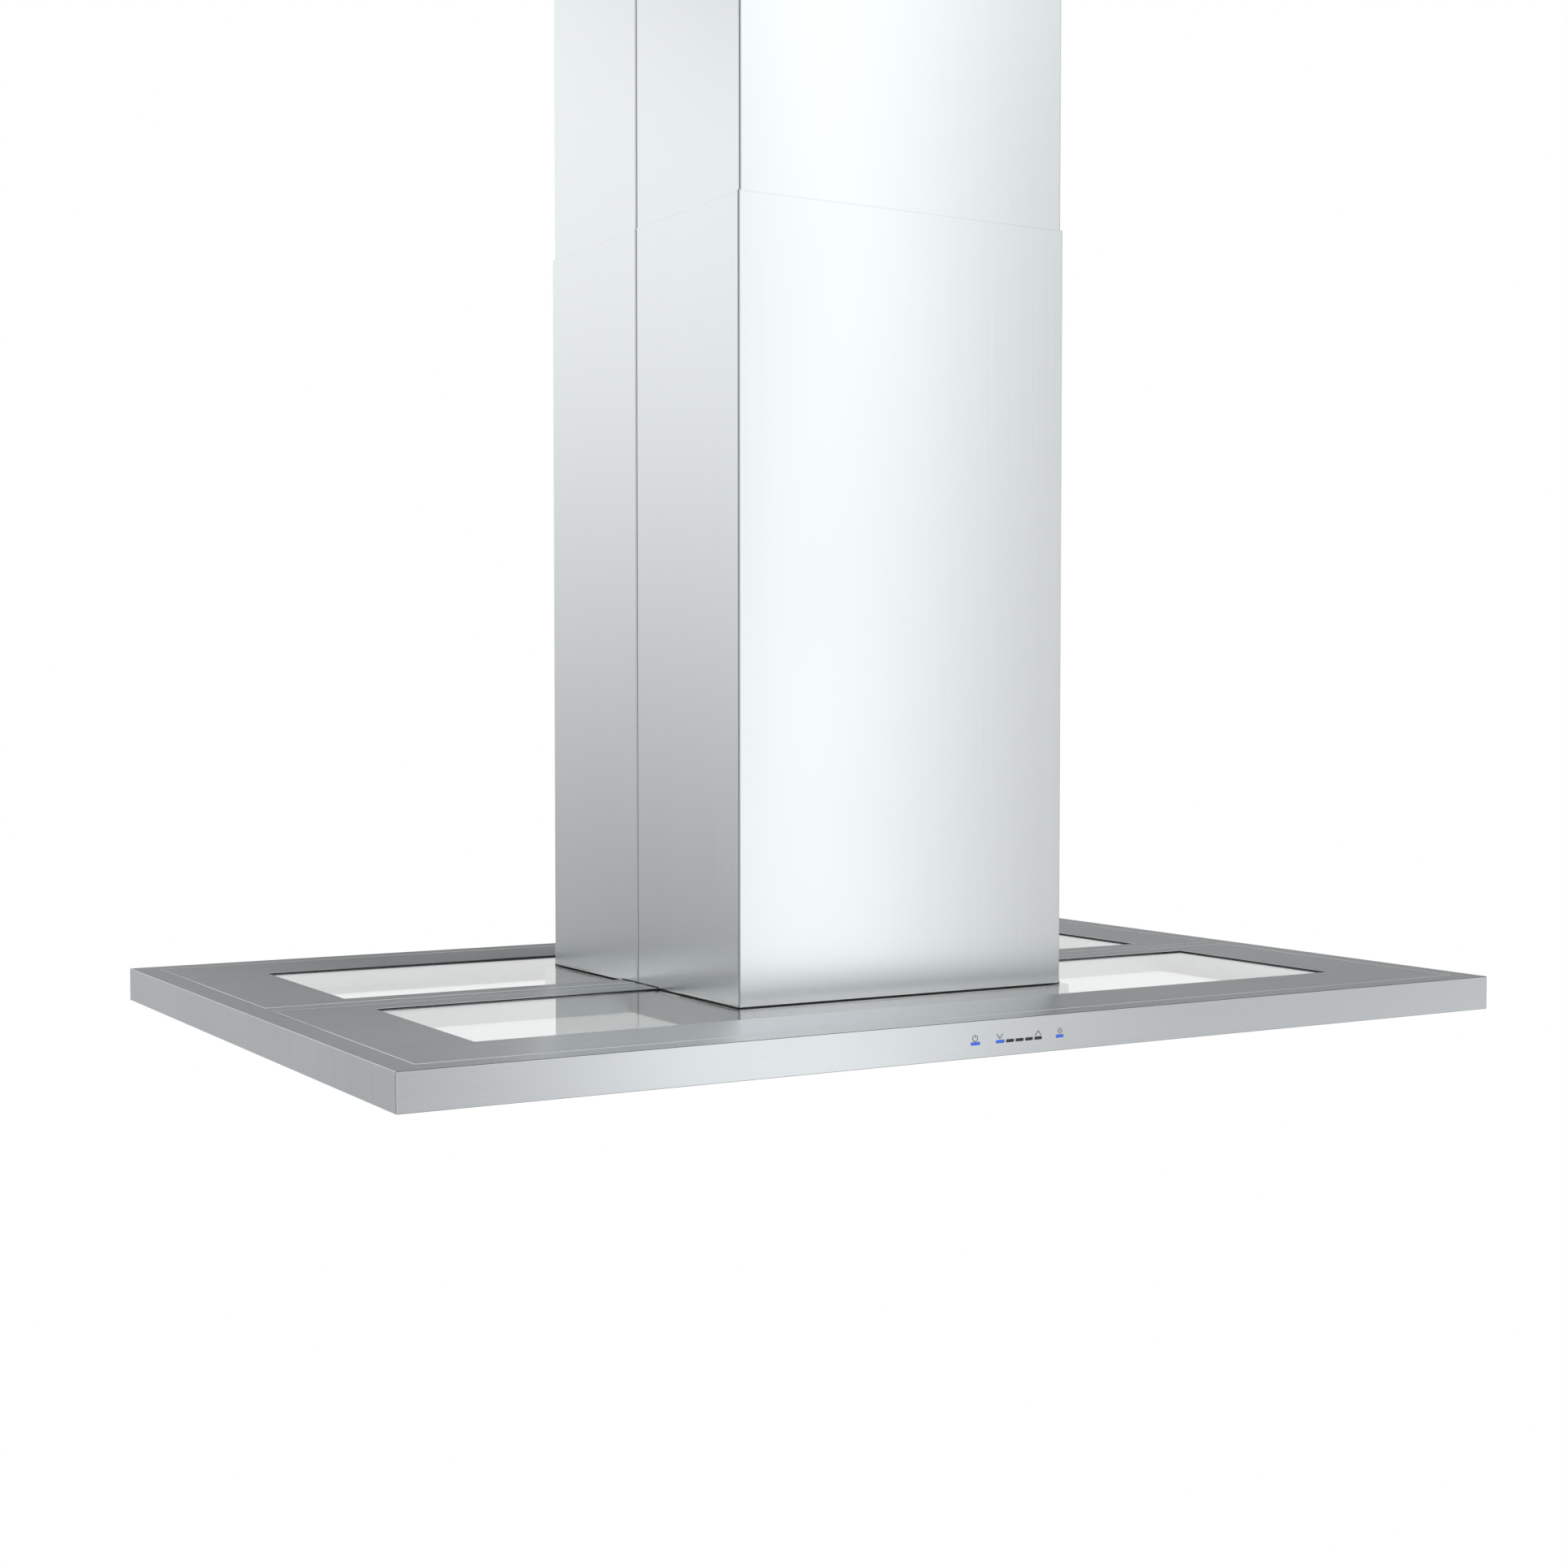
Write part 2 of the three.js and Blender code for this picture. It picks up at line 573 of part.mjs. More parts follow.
/** Half of the backdraught damper: a half disc with two barrels on the pin. side is -1 for the front one. */
function damperFlap(side) {
  const { r, z, thick, pinR, barrelR, barrel, plateFrom } = DAMPER;
  const plateZ = [z - thick / 2, z + thick / 2];
  const acrossY = (from, to) => [COLLAR.y + side * from, COLLAR.y + side * to];
  const disc = post(r, [0, COLLAR.y], plateZ, 40);
  const half = block([-r - 1, r + 1], acrossY(plateFrom, r + 1), [z - thick, z + thick]);
  const barrelStart = side < 0 ? 38 : 50;
  const barrels = [];
  for (const end of [-1, 1]) {
    const span = [end * barrelStart, end * (barrelStart + barrel)].sort((a, b) => a - b);
    barrels.push(rod(barrelR, span, [COLLAR.y, z], 16));
    barrels.push(block(span, acrossY(barrelR - 1.5, plateFrom + 1), plateZ));
  }
  return cut(join(disc.intersect(half), ...barrels), rod(pinR + GAP, [-r, r], [COLLAR.y, z], 16));
}

/** The run capacitor that stands on the air box. */
function capacitor() {
  const { r, height, terminalR, terminal, shoulder } = CAPACITOR;
  const canTop = height - terminal;
  return turned(
    [
      [0, 0],
      [r, 0],
      [r, canTop - shoulder],
      [r - shoulder, canTop],
      [terminalR, canTop],
      [terminalR, height],
      [0, height],
    ],
    24,
  );
}

const glandCentre = [(JUNCTION.y[0] + JUNCTION.y[1]) / 2, (JUNCTION.bottom + JUNCTION.top) / 2];

/** The open box on the air box that the mains wiring ends in, with the hole for the gland. */
function junctionBox() {
  const { x, y, bottom, top, sheet } = JUNCTION;
  const inside = block([x[0] + sheet, x[1] - sheet], [y[0] + sheet, y[1] - sheet], [bottom + sheet, top + 1]);
  const glandHole = rod(GLAND.thread + GAP, [x[1] - 2 * sheet, x[1] + sheet], glandCentre, 20);
  return cut(block(x, y, [bottom, top]), inside, glandHole);
}

function junctionLid() {
  const { x, y, top, sheet } = JUNCTION;
  return block(x, y, [top + GAP, top + GAP + sheet]);
}

/** The gland that the supply cable enters by: collar, thread and clamping nut around an open bore. */
function cableGland() {
  const { bore, thread, hex, nut, hexLength, length, inside } = GLAND;
  const face = JUNCTION.x[1] + GAP;
  const body = join(
    rod(thread, [face - inside, face + 1], glandCentre, 20),
    rod(hex, [face, face + hexLength], glandCentre, 6),
    rod(nut, [face, face + length], glandCentre, 20),
  );
  return cut(body, rod(bore, [face - inside - 1, face + length + 1], glandCentre, 16));
}

// ---- Frames ----

/** One of four angle-section legs. sx and sy say which corner, and x and y place its outer corner. */
function angleLeg(sx, sy, x, y, z) {
  const { width, sheet } = LEG;
  return join(
    block([sx * x, sx * (x - sheet)], [sy * y, sy * (LEG.y - width)], z),
    block([sx * x, sx * (LEG.x - width)], [sy * y, sy * (y - sheet)], z),
  );
}

const corners = [
  ['front_left', -1, -1],
  ['front_right', 1, -1],
  ['back_left', -1, 1],
  ['back_right', 1, 1],
];
const boltY = LEG.y - BOLT.inset;
const legPlay = 0.5; // between a lower leg and the hanging leg that slides in it
const upperLeg = { x: LEG.x - LEG.sheet - legPlay, y: LEG.y - LEG.sheet - legPlay };
const upperInside = { x: upperLeg.x - LEG.sheet - GAP, y: upperLeg.y - LEG.sheet - GAP };

/** A rectangular ring that fits inside the hanging legs. */
function ringInLegs(sheet, z) {
  const { x, y } = upperInside;
  return ring(upperInside, { x: x - sheet, y: y - sheet }, z);
}

function lowerLeg(sx, sy) {
  const leg = angleLeg(sx, sy, LEG.x, LEG.y, [AIR_BOX.bottom, LEG.top]);
  const hole = [sx * (LEG.x + 1), sx * (LEG.x - LEG.sheet - 1)].sort((a, b) => a - b);
  return cut(leg, rod(BOLT.r + legPlay, hole, [sy * boltY, BOLT.z], 12));
}

/** A leg that hangs from the ceiling bracket, slotted so that the hood's bolts can ride up and down it. */
function hangingLeg(sx, sy) {
  const top = -CEILING_PLATE.thick - GAP;
  const leg = angleLeg(sx, sy, upperLeg.x, upperLeg.y, [UPPER_LEG_BOTTOM - DROP, top]);
  const slotHalf = BOLT.r + 2 * GAP;
  const slot = block(
    [sx * (upperLeg.x + 1), sx * (upperLeg.x - LEG.sheet - 1)],
    [sy * (boltY - slotHalf), sy * (boltY + slotHalf)],
    [BOLT.z - LIFT.down - LIFT.spare - DROP, BOLT.z + LIFT.up + LIFT.spare - DROP],
  );
  return cut(leg, slot);
}

/** A through bolt at one corner: head outside the lower leg, nut inside the hanging leg. */
function heightBolt(sx, sy) {
  const at = [sy * boltY, BOLT.z];
  const span = (a, b) => [sx * a, sx * b].sort((p, q) => p - q);
  const headFrom = LEG.x + GAP;
  const nutFrom = upperInside.x;
  return join(
    rod(BOLT.headR, span(headFrom, headFrom + BOLT.head), at, 6),
    rod(BOLT.headR, span(nutFrom, nutFrom - BOLT.head), at, 6),
    rod(BOLT.r, span(headFrom + 1, nutFrom - BOLT.head - 2), at, 12),
  );
}

function lowerBrace() {
  const x = LEG.x + GAP;
  const y = LEG.y + GAP;
  const { sheet, z } = LOWER_BRACE;
  return ring({ x: x + sheet, y: y + sheet }, { x, y }, z);
}

function upperBrace() {
  const bottom = UPPER_LEG_BOTTOM + UPPER_BRACE.above - DROP;
  return ringInLegs(UPPER_BRACE.sheet, [bottom, bottom + UPPER_BRACE.height]);
}

/** The plate screwed to the ceiling, with a flange for the legs, a duct hole and four screw slots. */
function ceilingBracket() {
  const { thick, flange, duct, slotX, slotY } = CEILING_PLATE;
  const plate = centred(UPPER_COVER.x - 1.7, UPPER_COVER.y - 1, [-thick, 0]);
  const legFlange = ringInLegs(thick, [-flange, -thick / 2]);
  const ductHole = centred(duct, duct, [-5, 5]);
  const slots = corners.map(([, sx, sy]) =>
    block(slotX.map((x) => sx * x), slotY.map((y) => sy * y), [-5, 5]),
  );
  return cut(join(plate, legFlange), ductHole, ...slots);
}

// ---- Chimney covers ----

/** The front half of a square chimney cover: a channel whose sides run back to the seam. */
function coverFront({ x, y, seam }, z) {
  const outline = new THREE.Shape();
  const inner = FOLD - COVER_SHEET;
  outline.moveTo(-x, seam);
  outline.absarc(-x + FOLD, -y + FOLD, FOLD, Math.PI, Math.PI * 1.5, false);
  outline.absarc(x - FOLD, -y + FOLD, FOLD, Math.PI * 1.5, Math.PI * 2, false);
  outline.lineTo(x, seam);
  outline.lineTo(x - COVER_SHEET, seam);
  outline.absarc(x - FOLD, -y + FOLD, inner, 0, -Math.PI / 2, true);
  outline.absarc(-x + FOLD, -y + FOLD, inner, -Math.PI / 2, -Math.PI, true);
  outline.lineTo(-x + COVER_SHEET, seam);
  outline.closePath();
  return prism(outline, z);
}

/** The rear half: the same channel, whose edges step inwards and pass behind the front half. */
function coverBack({ x, y, seam }, z) {
  const start = seam + SEAM_GROOVE;
  const step = COVER_SHEET + SEAM_PLAY;
  const outline = new THREE.Shape();
  const inner = FOLD - COVER_SHEET;
  const rightFlange = [
    [x, start],
    [x - step, start],
    [x - step, start - SEAM_LAP],
    [x - step - COVER_SHEET, start - SEAM_LAP],
    [x - step - COVER_SHEET, start + COVER_SHEET],
    [x - COVER_SHEET, start + COVER_SHEET],
  ];
  outline.absarc(x - FOLD, y - FOLD, inner, 0, Math.PI / 2, false);
  outline.absarc(-x + FOLD, y - FOLD, inner, Math.PI / 2, Math.PI, false);
  for (const [px, py] of [...rightFlange].reverse()) {
    outline.lineTo(-px, py);
  }
  outline.absarc(-x + FOLD, y - FOLD, FOLD, Math.PI, Math.PI / 2, true);
  outline.absarc(x - FOLD, y - FOLD, FOLD, Math.PI / 2, 0, true);
  for (const [px, py] of rightFlange) {
    outline.lineTo(px, py);
  }
  outline.closePath();
  return prism(outline, z);
}

// ---- Assembly ----

function buildHood() {
  const hood = new THREE.Group();
  hood.position.z = -DROP;
  hood.add(part('canopy_frame', canopyFrame(), brushedSteel));
  for (const [name, side] of [['front', -1], ['back', 1]]) {
    hood.add(part(`top_panel_${name}`, topPanel(side), brushedSteel));
    hood.add(part(`window_glass_${name}`, windowGlass(side), clearGlass));
    hood.add(part(`filter_frame_${name}`, filterFrame(side), filterSteel));
    hood.add(part(`filter_baffles_${name}`, filterBaffles(side), filterSteel));
    hood.add(part(`filter_latch_${name}`, filterLatch(side), blackPlastic));
    hood.add(part(`damper_flap_${name}`, damperFlap(side), castAluminium));
  }
  hood.add(part('plenum_box', plenumBox(), greyPaint));
  hood.add(part('filter_rail', filterRail(), greyPaint));
  const lamp = lampBody();
  const lens = new THREE.CylinderGeometry(LAMP_LENS_R, LAMP_LENS_R, SHEET - 0.1, 32).rotateX(Math.PI / 2);
  for (const [place, x, y] of lampPlaces()) {
    const housing = part(`lamp_housing_${place}`, lamp, castAluminium);
    housing.position.set(x, y, 0);
    const cover = part(`lamp_lens_${place}`, lens, lampLens);
    cover.position.set(x, y, -THICK + SHEET / 2);
    hood.add(housing, cover);
  }
  const unlitStrip = -halfDepth + SHEET + GAP;
  hood.add(part('indicators_unlit', indicatorComb(UNLIT_BARS, unlitStrip), smokedLens));
  hood.add(part('indicators_lit', indicatorComb(LIT_BARS, unlitStrip + STRIP + GAP), blueLens));
  hood.add(part('control_housing', controlHousing(), blackPlastic));
  hood.add(part('control_board', controlBoard(), boardGreen));
  hood.add(part('base_ring', baseRing(), zincSteel));
  hood.add(part('air_box', airBox(), zincSteel));
  hood.add(part('blower_scroll', blowerScroll(), zincSteel));
  hood.add(part('blower_wheel', blowerWheel(), castAluminium));
  const shaft = rod(SHAFT_R, [-14, MOTOR.far - GAP], [BLOWER.y, BLOWER.z], 20);
  hood.add(part('motor_shaft', shaft, zincSteel));
  hood.add(part('motor', motorBody(), castAluminium));
  hood.add(part('motor_bracket', motorBracket(), zincSteel));
  hood.add(part('outlet_collar', outletCollar(), zincSteel));
  const pinEnd = COLLAR.inner - 0.8;
  hood.add(part('damper_pin', rod(DAMPER.pinR, [-pinEnd, pinEnd], [COLLAR.y, DAMPER.z], 12), zincSteel));
  const runCapacitor = part('capacitor', capacitor(), castAluminium);
  runCapacitor.position.set(CAPACITOR.x, CAPACITOR.y, AIR_BOX.top + GAP);
  hood.add(runCapacitor);
  hood.add(part('junction_box', junctionBox(), zincSteel));
  hood.add(part('junction_lid', junctionLid(), zincSteel));
  hood.add(part('cable_gland', cableGland(), blackPlastic));
  for (const [place, sx, sy] of corners) {
    hood.add(part(`lower_leg_${place}`, lowerLeg(sx, sy), zincSteel));
    hood.add(part(`height_bolt_${place}`, heightBolt(sx, sy), zincSteel));
  }
  hood.add(part('lower_brace', lowerBrace(), zincSteel));
  const coverZ = [COVER.bottom, COVER.top];
  hood.add(part('lower_cover_front', coverFront(COVER, coverZ), chimneySteel));
  hood.add(part('lower_cover_back', coverBack(COVER, coverZ), chimneySteel));
  return hood;
}

function buildCeilingFrame() {
  const frame = new THREE.Group();
  frame.add(part('ceiling_bracket', ceilingBracket(), zincSteel));
  for (const [place, sx, sy] of corners) {
    frame.add(part(`upper_leg_${place}`, hangingLeg(sx, sy), zincSteel));
  }
  frame.add(part('upper_brace', upperBrace(), zincSteel));
  const coverZ = [-UPPER_COVER.length, -GAP];
  frame.add(part('upper_cover_front', coverFront(UPPER_COVER, coverZ), chimneySteel));
  frame.add(part('upper_cover_back', coverBack(UPPER_COVER, coverZ), chimneySteel));
  return frame;
}

const rangeHood = new THREE.Group();
rangeHood.add(buildCeilingFrame(), buildHood());

export default rangeHood;
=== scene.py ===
"""Island range hood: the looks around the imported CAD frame.

Every object is in metres in the row frame: +Z up, the origin at the centre of the ceiling bracket's top
face, and -Y the side with the controls. A CAD node that has the right shape stays and gets bevels and a
material. Small pieces that the CAD leaves out, such as screws, printed symbols, bezels and hinge pins,
are built here and ride on the CAD bodies.
"""

import json
import math

import bmesh
import bpy
from mathutils import Matrix, Vector


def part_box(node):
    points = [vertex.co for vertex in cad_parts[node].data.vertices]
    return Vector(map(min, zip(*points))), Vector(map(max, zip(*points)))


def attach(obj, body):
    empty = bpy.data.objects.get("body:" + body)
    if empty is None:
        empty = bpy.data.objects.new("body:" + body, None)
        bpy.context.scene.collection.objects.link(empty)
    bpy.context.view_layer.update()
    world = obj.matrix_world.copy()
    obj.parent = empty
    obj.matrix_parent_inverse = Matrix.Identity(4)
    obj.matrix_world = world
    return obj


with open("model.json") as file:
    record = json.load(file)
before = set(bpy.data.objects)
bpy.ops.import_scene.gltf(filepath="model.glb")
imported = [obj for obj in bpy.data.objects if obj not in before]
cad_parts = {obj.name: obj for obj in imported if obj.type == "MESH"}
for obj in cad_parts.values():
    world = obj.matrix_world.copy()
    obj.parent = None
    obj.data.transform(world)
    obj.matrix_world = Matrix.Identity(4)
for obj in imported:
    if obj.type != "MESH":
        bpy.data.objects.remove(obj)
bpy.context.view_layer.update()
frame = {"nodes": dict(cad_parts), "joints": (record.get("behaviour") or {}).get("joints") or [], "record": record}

MM = 0.001
X = Vector((1, 0, 0))
Y = Vector((0, 1, 0))
Z = Vector((0, 0, 1))

canopy_low, canopy_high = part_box("canopy_frame")
TOP = canopy_high.z
BOTTOM = canopy_low.z
FRONT = canopy_low.y
CORNERS = ["front_left", "front_right", "back_left", "back_right"]
WELD_GAP = 0.01 * MM
SHARP = math.radians(35)  # edges that turn further than this are bevelled
FOLD_SHADE_REACH = 0.7 * MM  # how far the painted shade along a fold reaches in from the face
HEM_SHADOW_HEIGHT = 1.2 * MM  # height of the painted shadow line along the lower cover's upper edge
PRINT = 0.01 * MM  # how far the printed symbols stand out
PRINT_ROOT = 0.2 * MM  # how deep they reach into the skin
LINE = 0.75 * MM  # width of their lines
CLEAR = 0.02  # millimetres that a small piece stands off the CAD surface beside it
GLASS_LAP = 8 * MM  # how far each pane reaches under the panel round its window
SHADOW_STRIP_RISE = 1.0 * MM  # height of the near-black strip under the chimney's foot, a painted shadow line
SEAM_WIDTH = 2.1 * MM  # of the grey strip in the groove between a cover's two halves, which is painted shade
DAMPER_RISE = 5.0 * MM  # from under a flap's barrels to the upper face of its plate
DAMPER_SEAL_FROM = 8  # degrees along the flap's rim
DAMPER_SEAL_SWEEP = 164
BRACKET_SHEET = 3 * MM
SLOT_X = 128 * MM  # middle of the ceiling bracket's screw slots
SLOT_Y = 140 * MM
COLLAR_FLANGE = 1.8 * MM  # top of the duct collar's flange over the air box
MOTOR_BRACKET = 2.32 * MM  # from the motor's end to just off its bracket's outer face
LEG_WALL = 2.5 * MM  # sheet of the hanging legs, which the nuts bear on
FLOOR_DROP = 1.7  # metres under the canopy
FLOOR_RADIUS = 2.4
FLOOR_SOLID = 0.35  # share of the radius where the floor starts to fade
FLOOR_GONE = 0.98

KEY_PLACE = Vector((-2.3, -2.2, TOP + 1.6))
KEY_WIDTH = 2.4
KEY_HEIGHT = 1.6
KEY_ENERGY = 28

# The photo's viewpoint, from a fit of the hood's corners in it.
CAMERA_PLACE = Vector((-1.10396, -1.84785, TOP + 0.25937))
CAMERA_YAW = math.radians(30.483)
CAMERA_PITCH = math.radians(-2.193)
CAMERA_LENS = 52.84  # millimetres, on a sensor CAMERA_SENSOR wide
CAMERA_SENSOR = 36


# ---- Material nodes ----

class Nodes:
    """A node tree, with short ways to add nodes to it."""

    def __init__(self, tree):
        self.tree = tree

    def node(self, kind, **settings):
        made = self.tree.nodes.new(kind)
        for key, value in settings.items():
            setattr(made, key, value)
        return made

    def link(self, source, target):
        self.tree.links.new(source, target)

    def feed(self, socket, value):
        """Sets a socket to a number, or links it to another node's output."""
        if isinstance(value, (int, float)):
            socket.default_value = value
        else:
            self.link(value, socket)

    def math(self, operation, *values):
        made = self.node("ShaderNodeMath", operation=operation)
        for socket, value in zip(made.inputs, values):
            self.feed(socket, value)
        return made.outputs[0]

    def mix(self, factor, first, second):
        """A number that goes from first to second as factor goes from 0 to 1."""
        made = self.node("ShaderNodeMix", data_type="FLOAT")
        for name, value in (("Factor", factor), ("A", first), ("B", second)):
            self.feed(made.inputs[name], value)
        return made.outputs["Result"]


class Graph(Nodes):
    """A material's nodes, with short ways to add those that the finishes share."""

    def __init__(self, name):
        self.material = bpy.data.materials.new(name)
        self.material.use_nodes = True
        super().__init__(self.material.node_tree)
        self.shader = self.tree.nodes["Principled BSDF"]
        self.place = self.node("ShaderNodeTexCoord").outputs["Object"]

    def noise(self, stretch, detail=3.0, roughness=0.55):
        """Noise whose cells per metre along x, y and z are stretch."""
        mapping = self.node("ShaderNodeMapping")
        mapping.inputs["Scale"].default_value = stretch
        self.link(self.place, mapping.inputs["Vector"])
        texture = self.node("ShaderNodeTexNoise")
        texture.inputs["Scale"].default_value = 1.0
        texture.inputs["Detail"].default_value = detail
        texture.inputs["Roughness"].default_value = roughness
        self.link(mapping.outputs[0], texture.inputs["Vector"])
        return texture.outputs["Fac"]

    def weigh(self, first, second, share):
        """A weighted sum: share of the first value and the rest of the second."""
        part = self.math("MULTIPLY", first, share)
        return self.math("ADD", part, self.math("MULTIPLY", second, 1 - share))

    def spread(self, value, low, high):
        """A noise value from about 0.3 to 0.7, spread over low to high."""
        made = self.node("ShaderNodeMapRange")
        made.inputs["From Min"].default_value = 0.3
        made.inputs["From Max"].default_value = 0.7
        made.inputs["To Min"].default_value = low
        made.inputs["To Max"].default_value = high
        self.link(value, made.inputs["Value"])
        return made.outputs[0]

    def colour(self, factor, dark, light):
        """The shader's colour, between dark and light."""
        made = self.node("ShaderNodeMix", data_type="RGBA")
        self.link(factor, made.inputs["Factor"])
        made.inputs["A"].default_value = (*dark, 1)
        made.inputs["B"].default_value = (*light, 1)
        self.link(made.outputs["Result"], self.shader.inputs["Base Color"])

    def darken(self, mask, kept):
        """Leaves only that share of the colour's brightness where mask is 1."""
        source = self.shader.inputs["Base Color"].links[0].from_socket
        made = self.node("ShaderNodeMix", data_type="RGBA", blend_type="MULTIPLY")
        self.link(mask, made.inputs["Factor"])
        self.link(source, made.inputs["A"])
        made.inputs["B"].default_value = (kept, kept, kept, 1)
        self.link(made.outputs["Result"], self.shader.inputs["Base Color"])

    def facing(self, axis):
        """How far the surface faces along an axis, either way: 0 to 1."""
        split = self.node("ShaderNodeSeparateXYZ")
        self.link(self.node("ShaderNodeNewGeometry").outputs["Normal"], split.inputs[0])
        return self.math("ABSOLUTE", split.outputs[axis])

    def bump(self, height, distance, strength=1.0):
        made = self.node("ShaderNodeBump")
        made.inputs["Strength"].default_value = strength
        made.inputs["Distance"].default_value = distance
        self.link(height, made.inputs["Height"])
        self.link(made.outputs[0], self.shader.inputs["Normal"])

    def roughness(self, value, low, high):
        """The shader's roughness, from low to high as value varies."""
        self.link(self.spread(value, low, high), self.shader.inputs["Roughness"])

    def set(self, **values):
        """Uniform values on the shader's own sockets; an underscore stands for a space."""
        for key, value in values.items():
            self.shader.inputs[key.replace("_", " ")].default_value = value

    def smear_along(self, x, y, z):
        """The direction that anisotropic reflections are drawn out in."""
        tangent = self.node("ShaderNodeCombineXYZ")
        for socket, value in zip(tangent.inputs, (x, y, z)):
            self.feed(socket, value)
        self.link(tangent.outputs[0], self.shader.inputs["Tangent"])


def shade(colour, factor):
    """A colour made darker or lighter by a factor."""
    return tuple(c * factor for c in colour)


def canopy_steel():
    """Satin steel, brushed along x on the top and on the front and back skins, upright on the ends."""
    steel = (0.758, 0.793, 0.813)
    g = Graph("canopy_steel")
    frontal = g.facing("Y")
    across_y = g.noise((5, 1500, 9), detail=4)
    across_z = g.noise((5, 9, 1500), detail=4)
    grain = g.mix(frontal, across_y, across_z)
    long_streaks = g.noise((2, 60, 20), detail=2)
    upright_streaks = g.noise((20, 330, 14), detail=4)
    streaks = g.mix(g.facing("X"), long_streaks, upright_streaks)
    cloud = g.noise((7, 7, 7), detail=2)
    tone = g.weigh(grain, streaks, 0.5)
    g.colour(g.spread(tone, 0, 1), shade(steel, 0.955), shade(steel, 1.04))
    # painted shade: the front skin's two long folds are darkened to a fifth of the steel's colour
    g.darken(front_fold_painted_shade(g), 0.2)
    g.roughness(g.weigh(grain, cloud, 0.5), 0.27, 0.33)
    g.bump(grain, 0.00002, 0.35)
    g.set(Metallic=1.0, Anisotropic=0.98)
    g.smear_along(0, g.math("SUBTRACT", 1.0, frontal), frontal)
    return g.material


def front_fold_painted_shade(g):
    """1 on the two long rounded folds of the front skin, where the steel is darkened as painted shade, and 0
    elsewhere.
    """
    split = g.node("ShaderNodeSeparateXYZ")
    g.link(g.place, split.inputs[0])
    near_front = g.math("LESS_THAN", split.outputs["Y"], FRONT + FOLD_SHADE_REACH)
    upward = g.facing("Z")
    tilted = g.math("MULTIPLY", g.math("LESS_THAN", upward, 0.96), g.math("GREATER_THAN", upward, 0.3))
    return g.math("MULTIPLY", near_front, tilted)


def chimney_steel():
    """Smooth satin steel with a very fine upright grain."""
    steel = (0.79, 0.825, 0.83)
    g = Graph("chimney_steel")
    grain = g.noise((1300, 1300, 4), detail=4)
    cloud = g.noise((4, 4, 2.5), detail=2)
    g.colour(g.spread(grain, 0, 1), shade(steel, 0.985), shade(steel, 1.012))
    # painted shade: the upright corner folds of both covers are darkened to a tenth of the steel's colour
    g.darken(cover_fold_painted_shade(g), 0.1)
    # painted shadow: a thin band just under the lower cover's upper edge is slightly darkened
    g.darken(cover_hem_painted_shadow(g), 0.95)
    g.roughness(g.weigh(grain, cloud, 0.4), 0.18, 0.21)
    g.bump(grain, 0.00001, 0.2)
    g.set(Metallic=1.0, Anisotropic=0.6)
    g.smear_along(0, 0, 1)
    return g.material


def cover_fold_painted_shade(g):
    """1 on the upright folds at the covers' corners, where the steel is darkened as painted shade, and 0
    elsewhere.
    """
    split = g.node("ShaderNodeSeparateXYZ")
    g.link(g.place, split.inputs[0])
    x, y, z = split.outputs
    fold_shade_masks = []
    for cover in ("lower_cover_front", "upper_cover_front"):
        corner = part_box(cover)[0]
        near_x = g.math("GREATER_THAN", g.math("ABSOLUTE", x), -corner.x - FOLD_SHADE_REACH)
        near_y = g.math("GREATER_THAN", g.math("ABSOLUTE", y), -corner.y - FOLD_SHADE_REACH)
        fold_shade_masks.append(g.math("MULTIPLY", near_x, near_y))
    lower, upper = fold_shade_masks
    above = g.math("GREATER_THAN", z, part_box("lower_cover_front")[1].z)
    return g.math("MAXIMUM", lower, g.math("MULTIPLY", upper, above))


def cover_hem_painted_shadow(g):
    """1 on a thin band just under the lower cover's upper edge, darkened as a painted shadow line, and 0
    elsewhere.
    """
    split = g.node("ShaderNodeSeparateXYZ")
    g.link(g.place, split.inputs[0])
    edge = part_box("lower_cover_front")[1].z
    below = g.math("LESS_THAN", split.outputs["Z"], edge)
    return g.math("MULTIPLY", below, g.math("GREATER_THAN", split.outputs["Z"], edge - HEM_SHADOW_HEIGHT))


def clear_glass():
    """Toughened glass, tinted grey, and a little uneven as dust makes it."""
    g = Graph("clear_glass")
    dust = g.noise((60, 60, 60), detail=5)
    g.colour(g.spread(dust, 0, 1), (0.68, 0.71, 0.70), (0.74, 0.76, 0.755))
    g.set(Transmission_Weight=1.0, IOR=1.5, Roughness=0.0)
    return g.material


def sheet_metal(name, metal, rough, grain_stretch, mottle=0.03, spots=35.0, depth=0.00003):
    """A bare or plated metal: a fine grain, a broader mottle and uneven roughness."""
    g = Graph(name)
    grain = g.noise(grain_stretch, detail=4)
    cloud = g.noise((spots, spots, spots), detail=4, roughness=0.65)
    g.colour(g.spread(cloud, 0, 1), shade(metal, 1 - mottle), shade(metal, 1 + mottle))
    g.roughness(g.weigh(grain, cloud, 0.5), *rough)
    g.bump(grain, depth, 0.5)
    g.set(Metallic=1.0)
    return g.material


def paint(name, colour, rough, peel=900.0, depth=0.00004, mottle=0.03, coat=0.0):
    """Paint, plastic or lacquer: a fine surface texture, slight colour variation and uneven gloss."""
    g = Graph(name)
    texture = g.noise((peel, peel, peel), detail=2)
    cloud = g.noise((28, 28, 28), detail=3)
    g.colour(g.spread(cloud, 0, 1), shade(colour, 1 - mottle), shade(colour, 1 + mottle))
    g.roughness(g.weigh(texture, cloud, 0.3), *rough)
    g.bump(texture, depth, 0.4)
    g.set(Coat_Weight=coat)
    return g.material


def lit_lens(name, colour, glow, strength):
    """A translucent lens lit from behind, a little brighter in places."""
    g = Graph(name)
    cloud = g.noise((500, 500, 500), detail=2)
    g.colour(g.spread(cloud, 0, 1), shade(colour, 0.85), colour)
    g.roughness(cloud, 0.22, 0.34)
    g.set(Emission_Color=(*glow, 1), Emission_Strength=strength)
    return g.material


